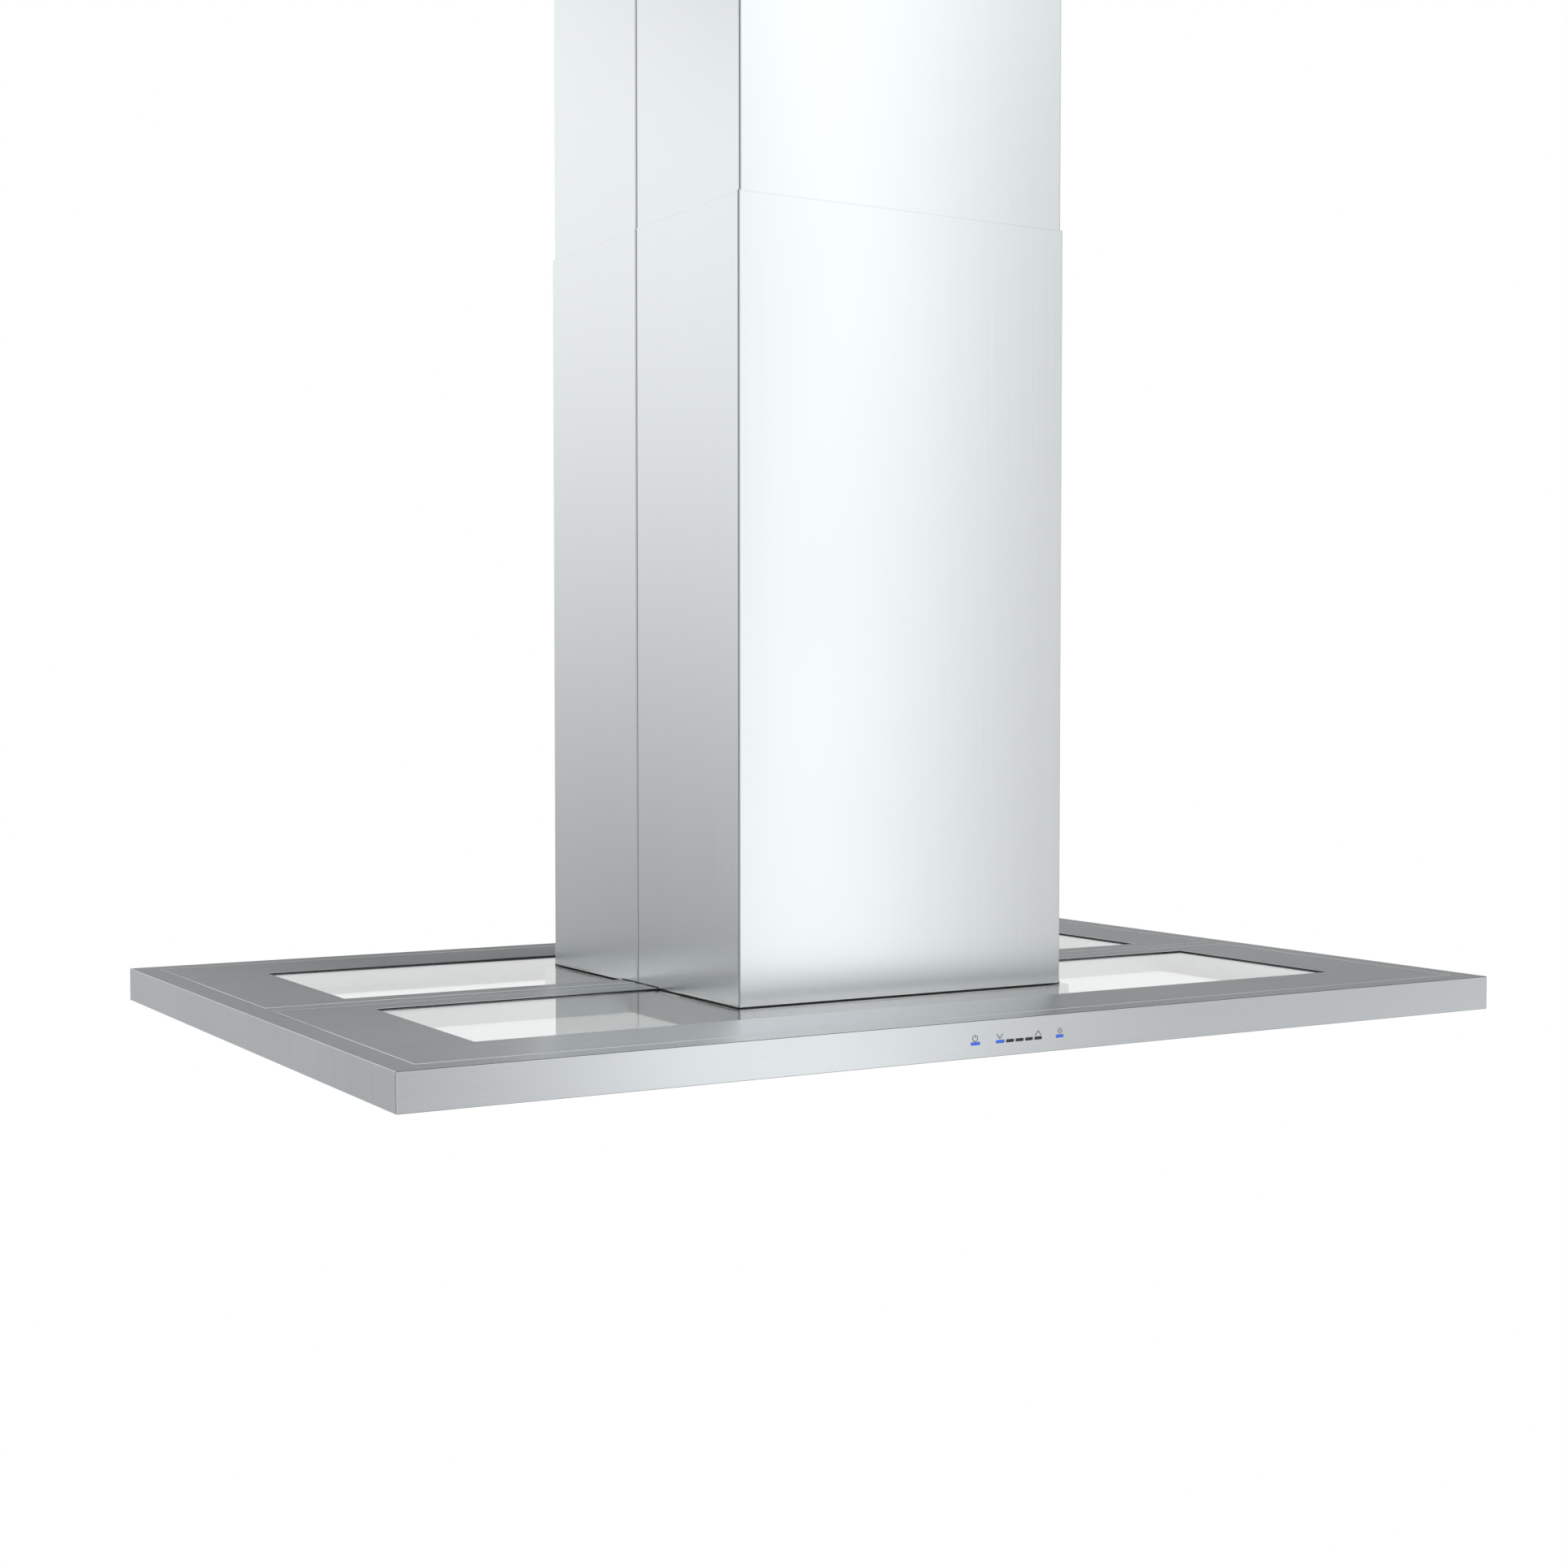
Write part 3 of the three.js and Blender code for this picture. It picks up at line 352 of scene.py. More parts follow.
def frosted_lens():
    """The lamps' opal cover, with a fine prism pattern."""
    g = Graph("lamp_lens")
    prisms = g.node("ShaderNodeTexVoronoi")
    prisms.inputs["Scale"].default_value = 420
    g.link(g.place, prisms.inputs["Vector"])
    cloud = g.noise((90, 90, 90), detail=2)
    g.colour(g.spread(cloud, 0, 1), (0.86, 0.85, 0.80), (0.93, 0.92, 0.88))
    g.roughness(cloud, 0.38, 0.5)
    g.bump(prisms.outputs["Distance"], 0.0004, 0.5)
    g.set(Subsurface_Weight=0.25, Subsurface_Scale=0.002, Coat_Weight=0.3)
    return g.material


def circuit_board():
    """Green lacquer over a pattern of tracks."""
    g = Graph("circuit_board")
    tracks = g.node("ShaderNodeTexBrick")
    tracks.inputs["Scale"].default_value = 160
    tracks.inputs["Mortar Size"].default_value = 0.06
    tracks.inputs["Color1"].default_value = (0.035, 0.17, 0.07, 1)
    tracks.inputs["Color2"].default_value = (0.03, 0.14, 0.06, 1)
    tracks.inputs["Mortar"].default_value = (0.10, 0.33, 0.15, 1)
    upright = g.node("ShaderNodeMapping")
    upright.inputs["Rotation"].default_value = (math.pi / 2, 0, 0)
    g.link(g.place, upright.inputs["Vector"])
    g.link(upright.outputs[0], tracks.inputs["Vector"])
    g.link(tracks.outputs["Color"], g.shader.inputs["Base Color"])
    g.roughness(g.noise((40, 40, 40)), 0.28, 0.45)
    g.bump(tracks.outputs["Fac"], 0.00004, 0.5)
    g.set(Coat_Weight=0.4)
    return g.material


MATERIALS = {
    "canopy_steel": canopy_steel(),
    "chimney_steel": chimney_steel(),
    "clear_glass": clear_glass(),
    "grey_paint": paint("grey_paint", (0.42, 0.425, 0.425), (0.34, 0.46), mottle=0.02),
    "filter_steel": sheet_metal("filter_steel", (0.62, 0.63, 0.64), (0.22, 0.38), (60, 900, 900)),
    "black_plastic": paint("black_plastic", (0.022, 0.022, 0.024), (0.42, 0.6), peel=1500, depth=0.00008),
    "cast_aluminium": sheet_metal(
        "cast_aluminium", (0.52, 0.53, 0.54), (0.42, 0.6), (700, 700, 700), depth=0.00015),
    "lamp_lens": frosted_lens(),
    "blue_lens": lit_lens("blue_lens", (0.02, 0.07, 0.42), (0.03, 0.11, 0.60), 0.7),
    "smoked_lens": paint(
        "smoked_lens", (0.006, 0.006, 0.007), (0.12, 0.22), peel=400, depth=0.00001, coat=0.5),
    "circuit_board": circuit_board(),
    "zinc_steel": sheet_metal(
        "zinc_steel", (0.50, 0.52, 0.54), (0.35, 0.55), (260, 260, 900), mottle=0.09, spots=70.0),
}
PRINT_GREY = paint("print_grey", (0.10, 0.105, 0.11), (0.35, 0.5), peel=2000, depth=0.00001)
# near-black rubber for the damper flaps' real foam seals, and also for the painted shadow strips under the
# chimney's foot and round the windows' cut edges
BLACK_RUBBER_AND_SHADOW = paint("black_rubber_and_shadow", (0.012, 0.012, 0.013), (0.6, 0.75), peel=1200, depth=0.0001)
# painted shade: a dull grey for the strips that darken the covers' seam grooves
SEAM_SHADE_GREY = paint("seam_shade_grey", (0.46, 0.48, 0.475), (0.3, 0.42), peel=700, depth=0.00002)
SEALANT = paint("clear_sealant", (0.62, 0.63, 0.64), (0.12, 0.2), peel=300, depth=0.00002)
SCREW_STEEL = sheet_metal(
    "screw_steel", (0.66, 0.67, 0.68), (0.2, 0.34), (1500, 1500, 1500), mottle=0.05, spots=400.0)


# ---- CAD nodes: bevels and materials ----

BEVEL = {
    "canopy_steel": 0.5,
    "chimney_steel": 0.2,
    "clear_glass": 0.6,
    "grey_paint": 0.5,
    "filter_steel": 0.4,
    "black_plastic": 0.4,
    "cast_aluminium": 0.4,
    "lamp_lens": 0.35,
    "blue_lens": 0.45,
    "smoked_lens": 0.45,
    "circuit_board": 0.3,
    "zinc_steel": 0.35,
}


def soften_edges(piece, width):
    """Welds the piece's faces together, bevels its sharp edges and smooths what is round."""
    weld = piece.modifiers.new("weld", "WELD")
    weld.merge_threshold = WELD_GAP
    bevel = piece.modifiers.new("bevel", "BEVEL")
    bevel.width = width
    bevel.segments = 2
    bevel.limit_method = "ANGLE"
    bevel.angle_limit = SHARP
    bevel.use_clamp_overlap = False
    bevel.miter_outer = "MITER_ARC"
    normals = piece.modifiers.new("normals", "WEIGHTED_NORMAL")
    normals.weight = 100
    normals.keep_sharp = False


def dress_cad_nodes():
    for subpart in frame["record"]["subparts"]:
        slot = subpart["material_slot"]
        node = frame["nodes"][subpart["node"]]
        node.data.materials.clear()
        node.data.materials.append(MATERIALS[slot])
        soften_edges(node, BEVEL[slot] * MM)


# ---- Mesh building ----

def finish_piece(name, shape, material, body, bevel=None):
    """Makes an object of a bmesh in the row frame, and fastens it to its body."""
    bmesh.ops.recalc_face_normals(shape, faces=shape.faces)
    mesh = bpy.data.meshes.new(name)
    for face in shape.faces:
        face.smooth = True
    shape.to_mesh(mesh)
    shape.free()
    piece = bpy.data.objects.new(name, mesh)
    bpy.context.scene.collection.objects.link(piece)
    mesh.materials.append(material)
    if bevel:
        soften_edges(piece, bevel)
    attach(piece, body)


def frame_of(direction):
    """A rotation that turns +Z to direction."""
    return direction.to_track_quat("Z", "Y").to_matrix().to_4x4()


def metres(profile):
    """A profile given in millimetres, in metres."""
    return [(across * MM, up * MM) for across, up in profile]


def add_turned(shape, profile, place, direction, sides):
    """Adds a solid of revolution: profile is (radius, height) from one end of the axis to the other."""
    pose = Matrix.Translation(place) @ frame_of(direction)
    rings = []
    for radius, height in profile:
        if radius == 0:
            rings.append([shape.verts.new(pose @ Vector((0, 0, height)))])
            continue
        turn = [2 * math.pi * i / sides for i in range(sides)]
        ring = [Vector((radius * math.cos(a), radius * math.sin(a), height)) for a in turn]
        rings.append([shape.verts.new(pose @ point) for point in ring])
    for lower, upper in zip(rings, rings[1:]):
        for i in range(sides):
            j = (i + 1) % sides
            corners = [lower[i % len(lower)], lower[j % len(lower)]]
            corners += [upper[j % len(upper)], upper[i % len(upper)]]
            unique = list(dict.fromkeys(corners))
            if len(unique) > 2:
                shape.faces.new(unique)


def add_ring(shape, profile, place, direction=Z, sides=48):
    """Adds a closed ring: profile is a loop of (radius, height)."""
    pose = Matrix.Translation(place) @ frame_of(direction)
    loops = []
    for i in range(sides):
        a = 2 * math.pi * i / sides
        loop = [Vector((r * math.cos(a), r * math.sin(a), h)) for r, h in profile]
        loops.append([shape.verts.new(pose @ point) for point in loop])
    for i in range(sides):
        here, there = loops[i], loops[(i + 1) % sides]
        for k in range(len(profile)):
            m = (k + 1) % len(profile)
            shape.faces.new((here[k], there[k], there[m], here[m]))


def add_block(shape, low, high):
    """Adds a box between two corners."""
    centre = (Vector(low) + Vector(high)) / 2
    size = Vector(high) - Vector(low)
    made = bmesh.ops.create_cube(shape, size=1.0)
    bmesh.ops.scale(shape, vec=size, verts=made["verts"])
    bmesh.ops.translate(shape, vec=centre, verts=made["verts"])


def add_stroke(shape, points, width, depth, closed=False):
    """Adds a printed line on the front skin: a band through (x, z) points, standing depth proud."""
    points = [Vector((x, z)) for x, z in points]
    count = len(points)
    sides = []
    for i, point in enumerate(points):
        before = points[i - 1] if closed or i > 0 else None
        after = points[(i + 1) % count] if closed or i < count - 1 else None
        into = (point - before).normalized() if before is not None else (after - point).normalized()
        out = (after - point).normalized() if after is not None else into
        along = (into + out).normalized()
        across = Vector((-along.y, along.x)) * (width / 2 / max(0.35, along.dot(out)))
        sides.append((point + across, point - across))
    face_y = FRONT - depth
    back_y = FRONT + PRINT_ROOT
    loops = []
    for a, b in sides:
        section = ((a, back_y), (a, face_y), (b, face_y), (b, back_y))
        loops.append([shape.verts.new((p.x, y, p.y)) for p, y in section])
    last = count if closed else count - 1
    for i in range(last):
        here, there = loops[i], loops[(i + 1) % count]
        for k in range(4):
            m = (k + 1) % 4
            shape.faces.new((here[k], there[k], there[m], here[m]))
    if not closed:
        shape.faces.new(loops[0])
        shape.faces.new(loops[-1])


def arc(centre, radius, start, end, steps=40):
    """Points on an arc in the x-z plane, in degrees from +x."""
    turn = [math.radians(start + (end - start) * i / steps) for i in range(steps + 1)]
    return [(centre[0] + radius * math.cos(a), centre[1] + radius * math.sin(a)) for a in turn]


# ---- Front controls ----

def control_symbols():
    """The printed symbols over the indicator bars: power, slower, faster and lamp."""
    shape = bmesh.new()

    def at(x, z):
        return (x * MM, TOP + z * MM)

    power = at(-45.2, -13.9)
    add_stroke(shape, arc(power, 2.4 * MM, 118, 422), LINE, PRINT)
    add_stroke(shape, [at(-45.2, -13.4), at(-45.2, -10.8)], LINE, PRINT)
    add_stroke(shape, [at(-24.1, -12.0), at(-21.0, -15.8), at(-17.9, -12.0)], LINE, PRINT)
    add_stroke(shape, [at(14.2, -16.0), at(17.2, -12.2), at(20.2, -16.0)], LINE, PRINT)
    lamp = at(39.2, -14.0)
    fine = LINE * 0.8
    add_stroke(shape, arc(lamp, 1.4 * MM, 0, 351, 39), fine, PRINT, closed=True)
    for i in range(8):
        a = math.radians(45 * i)
        ray = [(lamp[0] + r * MM * math.cos(a), lamp[1] + r * MM * math.sin(a)) for r in (2.15, 3.0)]
        add_stroke(shape, ray, fine, PRINT)
    finish_piece("control_symbols", shape, PRINT_GREY, "hood")


# ---- Fasteners ----

def add_screw(shape, place, direction, radius, height):
    """Adds a pan-head screw with a hexagon socket. place is on the surface that it holds."""
    socket = radius * 0.45
    head = [(0, -0.5), (radius * 0.9, -0.5), (radius, 0.0), (radius, height * 0.45),
            (radius * 0.93, height * 0.72), (radius * 0.75, height * 0.93), (socket * 1.15, height),
            (socket, height * 0.92), (socket * 0.96, height * 0.35), (0, height * 0.3)]
    add_turned(shape, metres(head), place, direction, sides=24)


def screws(name, places, direction, body, radius, height):
    """Makes one piece of the screws at all the places."""
    shape = bmesh.new()
    for place in places:
        add_screw(shape, Vector(place), direction, radius, height)
    finish_piece(name, shape, SCREW_STEEL, body)


def underside_screws():
    """Screws under the canopy's bottom flange, round the four sides."""
    inset = 11 * MM
    from_corner = 55 * MM
    long_side = canopy_high.y - inset
    short_side = canopy_high.x - inset
    x = canopy_high.x - from_corner
    y = canopy_high.y - from_corner
    quarters = [(sx, sy) for sx in (-1, 1) for sy in (-1, 1)]
    places = [(sx * x * k, sy * long_side, BOTTOM) for sx, sy in quarters for k in (0.34, 1.0)]
    places += [(sx * short_side, sy * y * k, BOTTOM) for sx, sy in quarters for k in (0.3, 0.9)]
    screws("flange_screws", places, -Z, "hood", radius=2.4, height=0.9)


def rail_screws():
    """Screws through the filter rail into the suction box."""
    low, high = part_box("filter_rail")
    y = (low.y + high.y) / 2
    places = [(x, y, low.z) for x in (low.x * 0.93, low.x * 0.35, high.x * 0.35, high.x * 0.93)]
    screws("rail_screws", places, -Z, "hood", radius=2.0, height=0.7)


def frame_screws():
    """Screws through the ceiling bracket, the duct collar's flange and the junction box's lid."""
    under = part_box("ceiling_bracket")[1].z - BRACKET_SHEET
    places = [(sx * SLOT_X, sy * SLOT_Y, under) for sx in (-1, 1) for sy in (-1, 1)]
    screws("ceiling_screws", places, -Z, "ceiling_frame", radius=5.0, height=2.6)
    low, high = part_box("outlet_collar")
    centre_y = (low.y + high.y) / 2
    reach = (high.x - low.x) / 2 - 6 * MM
    flange_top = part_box("air_box")[1].z + COLLAR_FLANGE
    places = [(sx * reach, centre_y + sy * reach, flange_top) for sx in (-1, 1) for sy in (-1, 1)]
    screws("collar_screws", places, Z, "hood", radius=2.6, height=1.2)
    low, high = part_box("junction_lid")
    inset = 5 * MM
    corner_x = (low.x + inset, high.x - inset)
    corner_y = (low.y + inset, high.y - inset)
    places = [(x, y, high.z) for x in corner_x for y in corner_y]
    screws("junction_screws", places, Z, "hood", radius=2.2, height=1.0)


# ---- Lamps and seals ----

def lamp_bezels():
    """A bright ring around each lamp's lens."""
    for place in CORNERS:
        low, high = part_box(f"lamp_lens_{place}")
        centre = (low + high) / 2
        r = (high.x - low.x) / 2
        profile = [(r + 0.35 * MM, 0.2 * MM), (r + 0.35 * MM, -0.8 * MM), (r + 0.9 * MM, -1.1 * MM),
                   (r + 2.6 * MM, -0.9 * MM), (r + 3.6 * MM, -0.25 * MM), (r + 3.6 * MM, -CLEAR * MM),
                   (r + 0.8 * MM, -CLEAR * MM), (r + 0.8 * MM, 0.2 * MM)]
        shape = bmesh.new()
        add_ring(shape, profile, Vector((centre.x, centre.y, BOTTOM)), sides=64)
        finish_piece(f"lamp_bezel_{place}", shape, SCREW_STEEL, "hood")


def add_wall(shape, outline, place, along, inward, thick):
    """Adds an upright plate: outline is a loop of (distance along, z), thick goes inward from place."""
    faces = []
    for depth in (0.0, thick):
        faces.append([shape.verts.new(place + along * a + inward * depth + Z * z) for a, z in outline])
    outer, inner = faces
    shape.faces.new(outer)
    shape.faces.new(inner[::-1])
    for i in range(len(outline)):
        j = (i + 1) % len(outline)
        shape.faces.new((outer[i], outer[j], inner[j], inner[i]))


def add_foot(shape, rise, height, inset, thick):
    """Adds four plates under the lower cover's edge, which step up over the canopy's bar.

    rise is how far the plates' lower edges stand over the glass and the steel, and height lifts their
    upper edges from there, or takes them to the cover where it is None.
    """
    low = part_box("lower_cover_front")[0]
    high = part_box("lower_cover_back")[1]
    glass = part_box("window_glass_front")[1].z
    step_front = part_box("window_glass_front")[1].y - GLASS_LAP - 0.6 * MM
    step_back = -step_front
    left, right = low.x + inset, high.x - inset
    front, back = low.y + inset, high.y - inset

    def top_of(floor):
        return low.z - CLEAR * MM if height is None else floor + rise + height

    on_glass, on_steel = glass + rise, TOP + rise
    plain = [(0, on_glass), (right - left, on_glass), (right - left, top_of(glass)), (0, top_of(glass))]
    add_wall(shape, plain, Vector((left, front, 0)), X, Y, thick)
    add_wall(shape, plain, Vector((left, back, 0)), X, -Y, thick)
    stepped = [(front + thick, on_glass), (step_front, on_glass), (step_front, on_steel),
               (step_back, on_steel), (step_back, on_glass), (back - thick, on_glass),
               (back - thick, top_of(glass))]
    if height is not None:
        stepped += [(step_back - height, top_of(glass)), (step_back - height, top_of(TOP)),
                    (step_front + height, top_of(TOP)), (step_front + height, top_of(glass))]
    stepped.append((front + thick, top_of(glass)))
    add_wall(shape, stepped, Vector((left, 0, 0)), Y, X, thick)
    add_wall(shape, stepped, Vector((right, 0, 0)), Y, -X, thick)


def chimney_foot():
    """The steel strip that closes the space under the lower cover's edge, and under it a near-black strip that is
    a painted shadow line at the chimney's foot.
    """
    shape = bmesh.new()
    add_foot(shape, rise=SHADOW_STRIP_RISE, height=None, inset=0.05 * MM, thick=1.0 * MM)
    finish_piece("chimney_foot", shape, MATERIALS["chimney_steel"], "hood", 0.08 * MM)
    # painted shadow: a near-black strip under the cover's foot stands in for the shadow line there
    shape = bmesh.new()
    height = SHADOW_STRIP_RISE - 2 * CLEAR * MM
    add_foot(shape, rise=CLEAR * MM, height=height, inset=0.25 * MM, thick=1.4 * MM)
    finish_piece("chimney_foot_shadow_strip", shape, BLACK_RUBBER_AND_SHADOW, "hood", 0.08 * MM)


def seam_shade_strips():
    """A grey strip in the groove between a cover's two halves, on each side, which darkens the groove as painted
    shade.
    """
    for name, body in (("lower", "hood"), ("upper", "ceiling_frame")):
        low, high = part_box(f"{name}_cover_front")
        from_y = high.y + 0.05 * MM
        shape = bmesh.new()
        for x, way in ((low.x, 1), (high.x, -1)):
            near, deep = x + way * 0.06 * MM, x + way * 0.7 * MM
            add_block(shape, (min(near, deep), from_y, low.z + 1 * MM),
                      (max(near, deep), from_y + SEAM_WIDTH, high.z - 1 * MM))
        # painted shade: the grey strips darken the seam groove
        finish_piece(f"cover_seam_shade_{name}", shape, SEAM_SHADE_GREY, body, 0.1 * MM)


def add_frame_strip(shape, low, high, profile):
    """Adds a strip round a rectangle. profile is a loop of (outward, z) from the rectangle's edge."""
    corners = [(low.x, low.y, -1, -1), (high.x, low.y, 1, -1),
               (high.x, high.y, 1, 1), (low.x, high.y, -1, 1)]
    loops = []
    for x, y, sx, sy in corners:
        loops.append([shape.verts.new((x + sx * out, y + sy * out, z)) for out, z in profile])
    for i in range(4):
        here, there = loops[i], loops[(i + 1) % 4]
        for k in range(len(profile)):
            m = (k + 1) % len(profile)
            shape.faces.new((here[k], there[k], there[m], here[m]))


def panel_seals():
    """The bead of sealant in the outline gap round each top panel, a hair proud of the steel."""
    for side in ("front", "back"):
        low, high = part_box(f"top_panel_{side}")
        bead = [(0.08, -0.5), (0.08, 0.1), (0.25, 0.32), (0.55, 0.32), (0.72, 0.1), (0.72, -0.5)]
        profile = [(out * MM, TOP + z * MM) for out, z in bead]
        shape = bmesh.new()
        add_frame_strip(shape, low, high, profile)
        finish_piece(f"panel_seal_{side}", shape, SEALANT, "hood")


def window_edge_shadows():
    """A near-black band round each window's cut edge, between the panel's top and the glass, which stands in for
    the shadow in the gap there as painted shadow.
    """
    for side in ("front", "back"):
        low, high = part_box(f"window_glass_{side}")
        edge_low = Vector((low.x + GLASS_LAP, low.y + GLASS_LAP, 0))
        edge_high = Vector((high.x - GLASS_LAP, high.y - GLASS_LAP, 0))
        glass, lip = high.z + 0.03 * MM, TOP - 0.5 * MM
        profile = [(-0.05 * MM, glass), (-0.05 * MM, lip), (-0.5 * MM, lip), (-0.5 * MM, glass)]
        # painted shadow: a near-black band covers the panel's cut edge round the window
        shape = bmesh.new()
        add_frame_strip(shape, edge_low, edge_high, profile)
        finish_piece(f"window_edge_shadow_{side}", shape, BLACK_RUBBER_AND_SHADOW, "hood", 0.06 * MM)


# ---- Filters, blower and duct ----

def centre_of(node):
    """The middle of a CAD node's box."""
    low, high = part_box(node)
    return (low + high) / 2


def filter_fittings():
    """Each filter's two hinge pins, and the rivets that hold its border together."""
    for joint in frame["joints"]:
        if not joint["name"].endswith("_drop"):
            continue
        body = joint["child"]
        side = body.split("_")[1]
        low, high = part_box(f"filter_frame_{side}")
        _, hinge_y, hinge_z = joint["pos_m"]
        pins = bmesh.new()
        pin = [(0, CLEAR), (2.0, CLEAR), (2.0, 4.2), (1.7, 4.6), (0, 4.6)]
        for x, way in ((low.x, -X), (high.x, X)):
            place = Vector((x, hinge_y, hinge_z))
            add_turned(pins, metres(pin), place, way, sides=20)
        finish_piece(f"filter_pins_{side}", pins, SCREW_STEEL, body)
        inset = 5 * MM
        across = (low.x + inset, high.x - inset)
        along = (low.y + inset, (low.y + high.y) / 2, high.y - inset)
        places = [(x, y, low.z) for x in across for y in along]
        places += [(x / 2, hinge_y, low.z) for x in (low.x, high.x)]
        rivets(f"filter_rivets_{side}", places, -Z, body, radius=2.1, height=0.7)


def rivets(name, places, direction, body, radius, height):
    """Domed rivet heads."""
    tilts = [math.radians(a) for a in (70, 50, 30, 12)]
    dome = [(radius * math.sin(a), CLEAR + height * math.cos(a)) for a in tilts]
    profile = [(0, CLEAR), (radius, CLEAR), *dome, (0, CLEAR + height)]
    shape = bmesh.new()
    for place in places:
        add_turned(shape, metres(profile), Vector(place), direction, sides=18)
    finish_piece(name, shape, SCREW_STEEL, body)


def around(centre, radius, angles):
    """Points round the blower's axis, which runs along x."""
    return [(centre.x, centre.y + radius * MM * math.cos(math.radians(a)),
             centre.z + radius * MM * math.sin(math.radians(a))) for a in angles]


def blower_fittings():
    """The bell mouth and rivets on the scroll's left cheek, and the screws in the motor's bracket."""
    axis = centre_of("blower_wheel")
    cheek = Vector((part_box("blower_scroll")[0].x, axis.y, axis.z))
    bell = [(58, CLEAR), (58, 2.4), (59.2, 3.6), (60.8, 3.6), (62, 2.4), (62, CLEAR)]
    shape = bmesh.new()
    add_ring(shape, metres(bell), cheek, -X, sides=72)
    finish_piece("scroll_bell", shape, MATERIALS["zinc_steel"], "hood")
    rivets("scroll_rivets", around(cheek, 71, range(0, 360, 45)), -X, "hood", radius=2.2, height=0.9)
    hub = Vector((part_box("motor")[1].x + MOTOR_BRACKET, axis.y, axis.z))
    screws("motor_screws", around(hub, 14, (60, 180, 300)), X, "hood", radius=2.6, height=1.3)


def capacitor_fittings():
    """The clamp round the run capacitor and its two terminals."""
    low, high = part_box("capacitor")
    centre = (low + high) / 2
    r = (high.x - low.x) / 2
    inner, outer, half = r + 0.05 * MM, r + 0.9 * MM, 4 * MM
    clamp = [(inner, -half), (outer, -half), (outer, half), (inner, half)]
    shape = bmesh.new()
    add_ring(shape, clamp, centre)
    finish_piece("capacitor_clamp", shape, SCREW_STEEL, "hood", 0.2 * MM)
    shape = bmesh.new()
    for side in (-1, 1):
        x = centre.x + side * 2.6 * MM
        add_block(shape, (x - 0.4 * MM, centre.y - 2.4 * MM, high.z + CLEAR * MM),
                  (x + 0.4 * MM, centre.y + 2.4 * MM, high.z + 7 * MM))
    finish_piece("capacitor_terminals", shape, SCREW_STEEL, "hood", 0.15 * MM)


def duct_fittings():
    """The rolled bead near the top of the duct collar, and the knock-outs of the junction box."""
    low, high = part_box("outlet_collar")
    centre = (low + high) / 2
    bead = [(75.03, 0), (76.2, 0.7), (76.7, 2.0), (76.2, 3.3), (75.03, 4.0)]
    place = Vector((centre.x, centre.y, high.z - 9 * MM))
    shape = bmesh.new()
    add_ring(shape, metres(bead), place, sides=96)
    finish_piece("collar_bead", shape, MATERIALS["zinc_steel"], "hood")
    low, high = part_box("junction_box")
    disc = [(0, CLEAR), (8, CLEAR), (8, 0.3), (7.6, 0.5), (6.4, 0.5), (6.0, 0.3), (0, 0.3)]
    shape = bmesh.new()
    for share in (0.28, 0.72):
        place = Vector((low.x + share * (high.x - low.x), low.y, (low.z + high.z) / 2))
        add_turned(shape, metres(disc), place, -Y, sides=28)
    finish_piece("junction_knockouts", shape, MATERIALS["zinc_steel"], "hood")


def damper_seals():
    """The foam strip along each damper flap's rim."""
    steps = 28
    section = [(65.5, CLEAR), (65.5, 1.3), (70.5, 1.3), (70.5, CLEAR)]
    for side, way in (("front", -1), ("back", 1)):
        body = f"damper_{side}"
        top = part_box(f"damper_flap_{side}")[0].z + DAMPER_RISE
        pin = centre_of("damper_pin")
        shape = bmesh.new()
        loops = []
        for i in range(steps + 1):
            a = math.radians(DAMPER_SEAL_FROM + DAMPER_SEAL_SWEEP * i / steps)
            out_x, out_y = math.cos(a) * MM, way * math.sin(a) * MM
            loop = [(pin.x + r * out_x, pin.y + r * out_y, top + h * MM) for r, h in section]
            loops.append([shape.verts.new(point) for point in loop])
        for here, there in zip(loops, loops[1:]):
            for k in range(4):
                m = (k + 1) % 4
                shape.faces.new((here[k], there[k], there[m], here[m]))
        shape.faces.new(loops[0])
        shape.faces.new(loops[-1])
        finish_piece(f"damper_seal_{side}", shape, BLACK_RUBBER_AND_SHADOW, body, 0.3 * MM)


# ---- Frame fittings ----

def height_nuts():
    """The flange nuts on the four height bolts, inside the hanging legs."""
    nut = [(3.6, CLEAR), (7.0, CLEAR), (7.0, 0.9), (5.9, 1.3), (5.9, 4.2), (5.5, 4.6), (3.6, 4.6)]
    for place in CORNERS:
        bolt = centre_of(f"height_bolt_{place}")
        low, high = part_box(f"upper_leg_{place}")
        left = place.endswith("left")
        wall = low.x + LEG_WALL if left else high.x - LEG_WALL
        inward = X if left else -X
        shape = bmesh.new()
        face = Vector((wall, bolt.y, bolt.z))
        add_ring(shape, metres(nut), face, inward, sides=6)
        finish_piece(f"height_nut_{place}", shape, SCREW_STEEL, "hood", 0.15 * MM)


def cover_screws():
    """The screws that hold the upper cover to the ceiling bracket's flanges."""
    low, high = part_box("upper_cover_front")
    reach = 150 * MM
    z = high.z - 14 * MM
    for side, x, way in (("left", low.x, -X), ("right", high.x, X)):
        places = [(x, -reach, z), (x, reach, z)]
        screws(f"cover_screws_{side}", places, way, "ceiling_frame", radius=2.3, height=0.8)


# ---- Scene: world, light, floor and camera ----

def make_camera():
    """A camera in front of the hood's left corner, a little above the canopy."""
    camera = bpy.data.objects.new("camera", bpy.data.cameras.new("camera"))
    bpy.context.scene.collection.objects.link(camera)
    camera.location = CAMERA_PLACE
    camera.rotation_euler = (math.pi / 2 + CAMERA_PITCH, 0, -CAMERA_YAW)
    camera.data.lens = CAMERA_LENS
    camera.data.sensor_width = CAMERA_SENSOR
    bpy.context.scene.camera = camera
